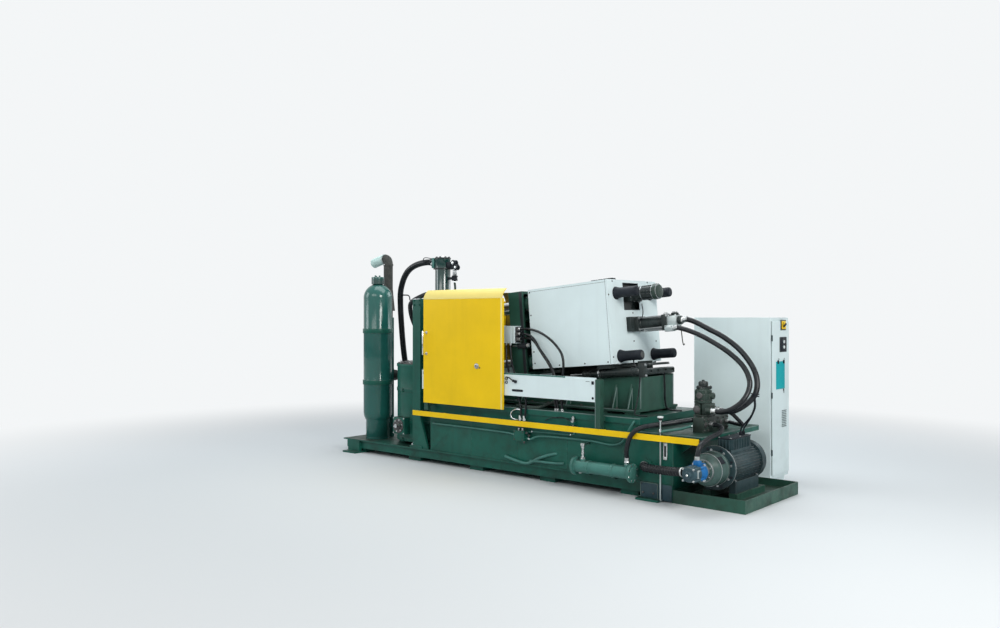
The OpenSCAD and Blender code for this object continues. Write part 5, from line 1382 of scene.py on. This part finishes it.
with piece("sight_gauge", ["gauge_white", "zinc_plate", "black_plastic"], slot="gauge_white",
           replaces=("level_gauge",)) as bm:
    for x in (2955, 2984):
        block(bm, (x, -586, 390), (x + 7, -572, 545), 2)
    for z in (390, 518):
        block(bm, (2955, -588, z), (2991, -572, z + 27), 3)
        stamp(bm, HEX, (2973, -588, z + 13), FRONT, 9, mat=1)
    drum(bm, 15, 417, 518, upright(2973, -580), 1, 16, 2)
    block(bm, (2962, -574, 417), (2984, -571.6, 518), 0, mat=2)

with piece("small_lines", ["oily_green", "chrome", "hose_rubber", "gauge_white", "galvanised",
                           "light_green_paint"], slot="light_green_paint") as bm:
    for points, d, mat in (
        ([(1180, -560, 768), (1240, -575, 769), (1340, -590, 768), (1440, -588, 768), (1510, -560, 778),
          (1565, -490, 806),
          (1620, -410, 838), (1660, -345, 860), (1675, -326, 866)], 34, 0),
        ([(1272, -600, 726), (1235, -612, 735), (1185, -616, 728), (1148, -616, 702), (1138, -616, 668),
          (1152, -614, 640),
          (1195, -606, 626), (1212, -590, 624)], 15, 1),
        ([(1584, -592, 646), (1640, -594, 668), (1713, -594, 684), (1820, -594, 690), (1926, -594, 655)], 9,
         2),
        ([(2934, -601, 12), (2934, -601, 300), (2934, -601, 745)], 15, 4),
        ([(3130, -352, 690), (3112, -368, 688), (3063, -450, 670), (3005, -535, 660), (2960, -588, 652),
          (2936, -600, 646)], 28, 5),
        ([(1350, -584, 500), (1400, -584, 512), (1640, -580, 519), (1906, -580, 523), (1940, -582, 560),
          (1944, -590, 630)], 16, 5),
        ([(1040, -590, 220), (1200, -596, 190), (1330, -598, 178), (1410, -598, 200), (1500, -596, 246),
          (1620, -590, 290),
          (1700, -574, 312), (1705, -572, 312)], 32, 5),
        ([(1386, -596, 206), (1500, -596, 214), (1640, -594, 216), (1777, -590, 222), (1800, -574, 224)],
         28, 5),
    ):
        tube(bm, smooth_route(points, 10), d, mat, 4)
    for z0, z1, d, mat in ((742, 752, 24, 3), (752, 774, 40, 2), (774, 790, 56, 3), (640, 668, 30, 1),
                           (8, 20, 34, 4)):
        drum(bm, d, z0, z1, upright(2934, -601), 3, 20, mat)
    for at, way in (((1400, -584, 512), RIGHT), ((1906, -580, 523), LEFT), ((3120, -361, 689), (1, 0.9, 0))):
        stamp(bm, HEX, at, way, 15, mat=1)

with piece("base_plate", ["slate_paint", "dark_iron"], slot="light_green_paint") as bm:
    block(bm, (2716, -588, 10), (2898, -579.6, 158), 3)
    block(bm, (2902, -586, 10), (3044, -579.6, 158), 3)
    for x in (2742, 2856):
        drum(bm, 20, 0, 12, facing((x, -588, 66), FRONT), 3, 20, 1)
    for x, z in ((2728, 20), (2886, 20), (2728, 148), (2886, 148)):
        stamp(bm, SOCKET, (x, -588, z), FRONT, 6, mat=1)

# %% [markdown]
# ## Platens and bed
# Big plates are held by a few big bolts, so their rows of heads say how the machine is put together.
# The core valve box has plug connectors on its end, and a cable drops from the hood to the deck.

# %% Bolts, connectors and cables on the clamp
with piece("clamp_fasteners", ["dark_iron", "bare_steel"], slot="bare_steel") as bm:
    for s in (-1, 1):
        for x in range(-60, 2520, 215):
            stamp(bm, HEX, (x, s * 368, 800), UP, 14)
        for u in range(-90, 2260, 195):
            stamp(bm, SOCKET, (u, s * 277, -495), UP, 12, CLAMP)
        for w in (-210, -80, 60, 190):
            for u in (-70, 50):
                stamp(bm, HEX, (u, s * 450, w), (0, s, 0), 12, CLAMP)
            stamp(bm, HEX, (2210, s * 430, w), (0, s, 0), 12, CLAMP)
    for y, w in ((-BAR, -BAR), (BAR, -BAR), (-BAR, BAR), (BAR, BAR)):
        turned(bm, [(43, 0), (76, 0), (80, 4), (80, 32), (74, 38), (44, 38)],
               facing((2250, y, w), RIGHT, CLAMP), 32, 1)
        turned(bm, [(43, 0), (70, 0), (74, 4), (74, 36), (70, 40), (44, 40)],
               facing((1190, y, w), RIGHT, CLAMP), 32, 1)
        bolt_ring(bm, HEX, (1190, y * 0.99, w * 0.99), RIGHT, 92, 4, 11, CLAMP, 0.78)

with piece("core_box_fittings", ["cream_paint", "zinc_plate", "dark_iron", "black_paint"],
           slot="cream_paint") as bm:
    stamp_all(bm, PAN, (1144,), (-549, -461), (1443, 1589), RIGHT, 6, mat=1)
    block(bm, (1099, -559, 1425), (1144, -452, 1607), 3)
    for z in (1575, 1525, 1470):
        block(bm, (1143, -542, z - 22), (1160, -482, z + 22), 4, mat=2)
        drum(bm, 36, 1158, 1182, Matrix.Translation((0, -512, z)) @ Matrix.Rotation(math.radians(90), 4,
                                                                                    "Y"), 3, 24, 1)
    for x in (1000, 1060):
        drum(bm, 30, 1405, 1424, upright(x, -530), 3, 20, 1)
    block(bm, (905, -561.2, 1430), (1095, -559.6, 1602), 0.5)
    for x, z in ((915, 1440), (1085, 1440), (915, 1592), (1085, 1592)):
        stamp(bm, PAN, (x, -561, z), FRONT, 6, mat=1)
    for s in (-1, 1):
        block(bm, (1148, s * 450.6 - 0.9, -440), (1190, s * 450.6 + 0.9, 440), 0.6, CLAMP, 3)
    for d, u0, u1, w, mat in ((40, 1228, 1262, -135, 1), (50, 1236, 1246, -135, 1),
                              (58, 1110, 1229, -135, 3), (22, 1030, 1112, -128, 1)):
        drum(bm, d, u0, u1, lying(-462, w), 3, 24, mat)
    block(bm, (1143, -554, 1430), (1145.4, -457, 1602), 0.5, mat=3)

with piece("hanging_cables", "hose_rubber", slot="hose_rubber") as bm:
    for points, d in (
        ([(2470, -330, 1290), (2500, -350, 1240), (2556, -352, 1140), (2560, -360, 1040), (2556, -380, 920),
          (2552, -420, 810),
          (2556, -440, 768), (2600, -440, 757), (2690, -430, 757)], 13),
        ([(2555, 120, 1150), (2562, 120, 1000), (2560, 130, 860), (2570, 160, 775), (2640, 200, 757),
          (2700, 220, 757)], 16),
    ):
        tube(bm, smooth_route(points, 12), d, 0, 3)

# %% [markdown]
# Below the hood a long thin cylinder lies beside the slide way, with its rod towards the die, and a
# cross bar closes the bed's end. An upright dark sheet stands behind them in the middle of the bed.
# All are black with old oil and shine only where the oil is fresh.

# %% Bed cylinder and end bar
with piece("bed_cylinder", ["oily_black", "bare_steel"], slot="black_paint") as bm:
    at = lying(-362, -476)
    drum(bm, 16, 1700, 1880, at, 2, 16, 1)
    turned(bm, [(0, 1866), (28, 1866), (31, 1869), (31, 1898), (27, 1902), (27, 1926), (31, 1930),
                (31, 1964), (22, 1967),
                (22, 2052), (49, 2054), (50, 2058), (50, 2092), (46, 2096), (40, 2098), (40, 2505),
                (47, 2508), (47, 2540),
                (42, 2545), (0, 2545)], at, 32)
    turned(bm, [(50, 2070), (51.5, 2071), (51.5, 2080), (50, 2081)], at, 32, 1)
    bolt_ring(bm, SOCKET, (2545, -362, -476), RIGHT, 34, 6, 8, CLAMP)
    for u in (2120, 2440):
        turned(bm, [(40, u), (44, u), (44, u + 24), (40, u + 24)], at, 32)
        block(bm, (u, -362, -522), (u + 24, -318, -500), 3, CLAMP)
    block(bm, (2546, -404, -536), (2600, -330, -396), 5, CLAMP)
    for w in (-520, -416):
        stamp(bm, HEX, (2600, -367, w), RIGHT, 13, CLAMP, mat=1)
    block(bm, (2466, -330, -520), (2528, 330, -452), 20, CLAMP, rounds=4)
    for u0, u1, top in ((1300, 2172, -378), (2171, 2249, -431), (2248, 2464, -378)):
        block(bm, (u0, -4, -523), (u1, 4, top), 1, CLAMP)
    for y in range(-280, 281, 140):
        stamp(bm, SOCKET, (2528, y, -478), RIGHT, 16, CLAMP)
    for w, d in ((-420, 14), (-408, 9)):
        tube(bm, smooth_route([CLAMP @ Vector(p) for p in ((2300, -300, w), (2400, -290, w),
                                                           (2480, -260, w), (2500, -180, w),
                                                          (2500, 0, w), (2500, 250, w), (2440, 300, w),
                                                          (2300, 300, w))], 14), d, 0, 3)

# %% [markdown]
# ## Sliding guards
# Each guard is one folded sheet that hangs on two rollers. Its top leans in, and the lean and the
# leading edge carry a paler yellow: a painted highlight where they catch the light. A round lock
# keeps it shut, and a chrome bow handle stands on two screwed feet. These pieces ride with their guard.

# %% Guard trim
def guard_trim(name, s, body):
    bm = bmesh.new()
    lip = ((720, 1906), (711, 1937), (686, 1977), (647, 2010))
    # Thin paler skin over the leaning lip: a painted highlight where the lip catches the light.
    for (y0, z0), (y1, z1) in zip(lip, lip[1:]):
        lean = Matrix.Translation((-85, s * y0, z0)) @ Matrix.Rotation(math.atan2(-s * (y1 - y0), z1 - z0),
                                                                       4, "X")
        block(bm, (0.5, s * 0.8 - 0.7, -0.5), (1189.5, s * 0.8 + 0.7, math.hypot(y1 - y0, z1 - z0) + 0.5),
              0.5, lean)
    # Paler strip on the leading edge's fold: a painted highlight.
    block(bm, (1082, s * 719.8 - 1.4, 731), (1106.2, s * 719.8 + 1.4, 1904), 1.2)
    for z in (1290, 1530):
        foot = facing((-35, s * 720, z), (0, s, 0))
        turned(bm, [(6.5, 0), (17, 0), (17, 3), (13, 6), (9, 7), (7.5, 12)], foot, 24, 1)
    lock = facing((742, s * 720, 1175), (0, s, 0))
    turned(bm, [(0, 0), (30, 0), (30, 3), (26, 6), (25, 11), (20, 14), (12, 14), (11, 10), (0, 10)], lock,
           32, 1)
    block(bm, (-2.5, -9, 9.5), (2.5, 9, 11), 0, lock, 2)
    drum(bm, 18, 0, 7, facing((786, s * 720, 1158), (0, s, 0)), 2, 16, 2)
    for x in (85, 935):
        for dx in (-26, 26):
            stamp(bm, HEX, (x + dx, s * 704, 1155), (0, -s, 0), 8, mat=2)
            stamp(bm, HEX, (x + dx, s * 704, 1127), (0, -s, 0), 8, mat=2)
        stamp(bm, NUT, (x, s * 642, 1141.3), (0, -s, 0), 12, mat=1)
        washer_ring(bm, (x, s * 670.5, 1141.3), (0, s, 0), 24, 8, 2)
    settle(name, bm, ["pale_yellow", "bare_steel", "dark_iron"], body=body, slot="yellow_paint")


guard_trim("front_guard_trim", -1, "front_guard")
guard_trim("rear_guard_trim", 1, "rear_guard")

# %% [markdown]
# ## Control cabinet
# The switch gear stands in its own cream cabinet. On its door are a yellow main switch, a black plate
# with two push buttons and a clip board. Louvres let the warm air out below.

# %% Cabinet fittings
with piece("cabinet_front", ["cream_paint", "motor_grey", "yellow_paint", "black_plastic", "gauge_white",
                             "teal_plastic", "teal_plastic"], slot="black_plastic",
                             replaces=("cabinet_fittings",)) as bm:
    x = 3398
    block(bm, (x, 1030, 1568), (x + 5, 1160, 1676), 4, mat=1)
    block(bm, (x + 4, 1042, 1580), (x + 10, 1148, 1664), 8, mat=2, rounds=4)
    knob = facing((x + 10, 1095, 1622), RIGHT)
    drum(bm, 62, 0, 6, knob, 2, 32, 2)
    block(bm, (-30, -8, 5), (30, 8, 20), 4, knob @ Matrix.Rotation(0.5, 4, "Z"), 3)
    block(bm, (x, 1007, 1345), (x + 6, 1172, 1499), 4, mat=3)
    for y0, y1, z0, z1 in ((1009, 1013, 1347, 1497), (1166, 1170, 1347, 1497)):
        block(bm, (x + 5, y0, z0), (x + 7.5, y1, z1), 1, mat=1)
    for z in (1395, 1450):
        spot = facing((x + 6, 1090, z), RIGHT)
        turned(bm, [(15, 0), (23, 0), (23, 3), (20, 6), (15, 6)], spot, 28, 1)
        turned(bm, [(0, 14), (13, 14), (16, 11), (16, 0), (0, 0)], spot, 28, 4)
    for y, z in ((1018, 1356), (1161, 1356), (1018, 1488), (1161, 1488)):
        stamp(bm, PAN, (x + 6, y, z), RIGHT, 6, mat=1)
    block(bm, (x, 920, 967), (x + 4, 1133, 1250), 1.5, mat=5)
    block(bm, (x + 3.6, 930, 977), (x + 4.6, 1123, 1222), 0, mat=6)
    for y in (945, 1085):
        block(bm, (x + 2, y, 1226), (x + 12, y + 30, 1262), 4, mat=3)
        for dy in (4, 26):
            tube(bm, smooth_route([(x + 9, y + dy, 1258), (x + 13, y + dy, 1272), (x + 12, y + 15, 1284)],
                                  4), 3, 1, 2)
    tube(bm, [Vector((x + 7, 1096 + 2 * k, 966 - 14 * k)) for k in range(4)], 10, 3, 3,
         swell=lambda i: 1.0 if i < 2 else 0.6)
    bmesh.ops.translate(bm, vec=(0, -30, 0), verts=bm.verts)
    for k in range(10):
        block(bm, (x - 0.5, 1030, 577 + 18 * k), (x + 4, 1148, 581 + 18 * k), 1.2, mat=1)
    for y in (812.6, 1216.2):
        block(bm, (x - 19, y, 100), (x - 14, y + 1.2, 1660), 0, mat=3)
    for z in (300, 880, 1460):
        drum(bm, 14, z, z + 60, upright(x - 6, 807.5), 2, 16, 1)
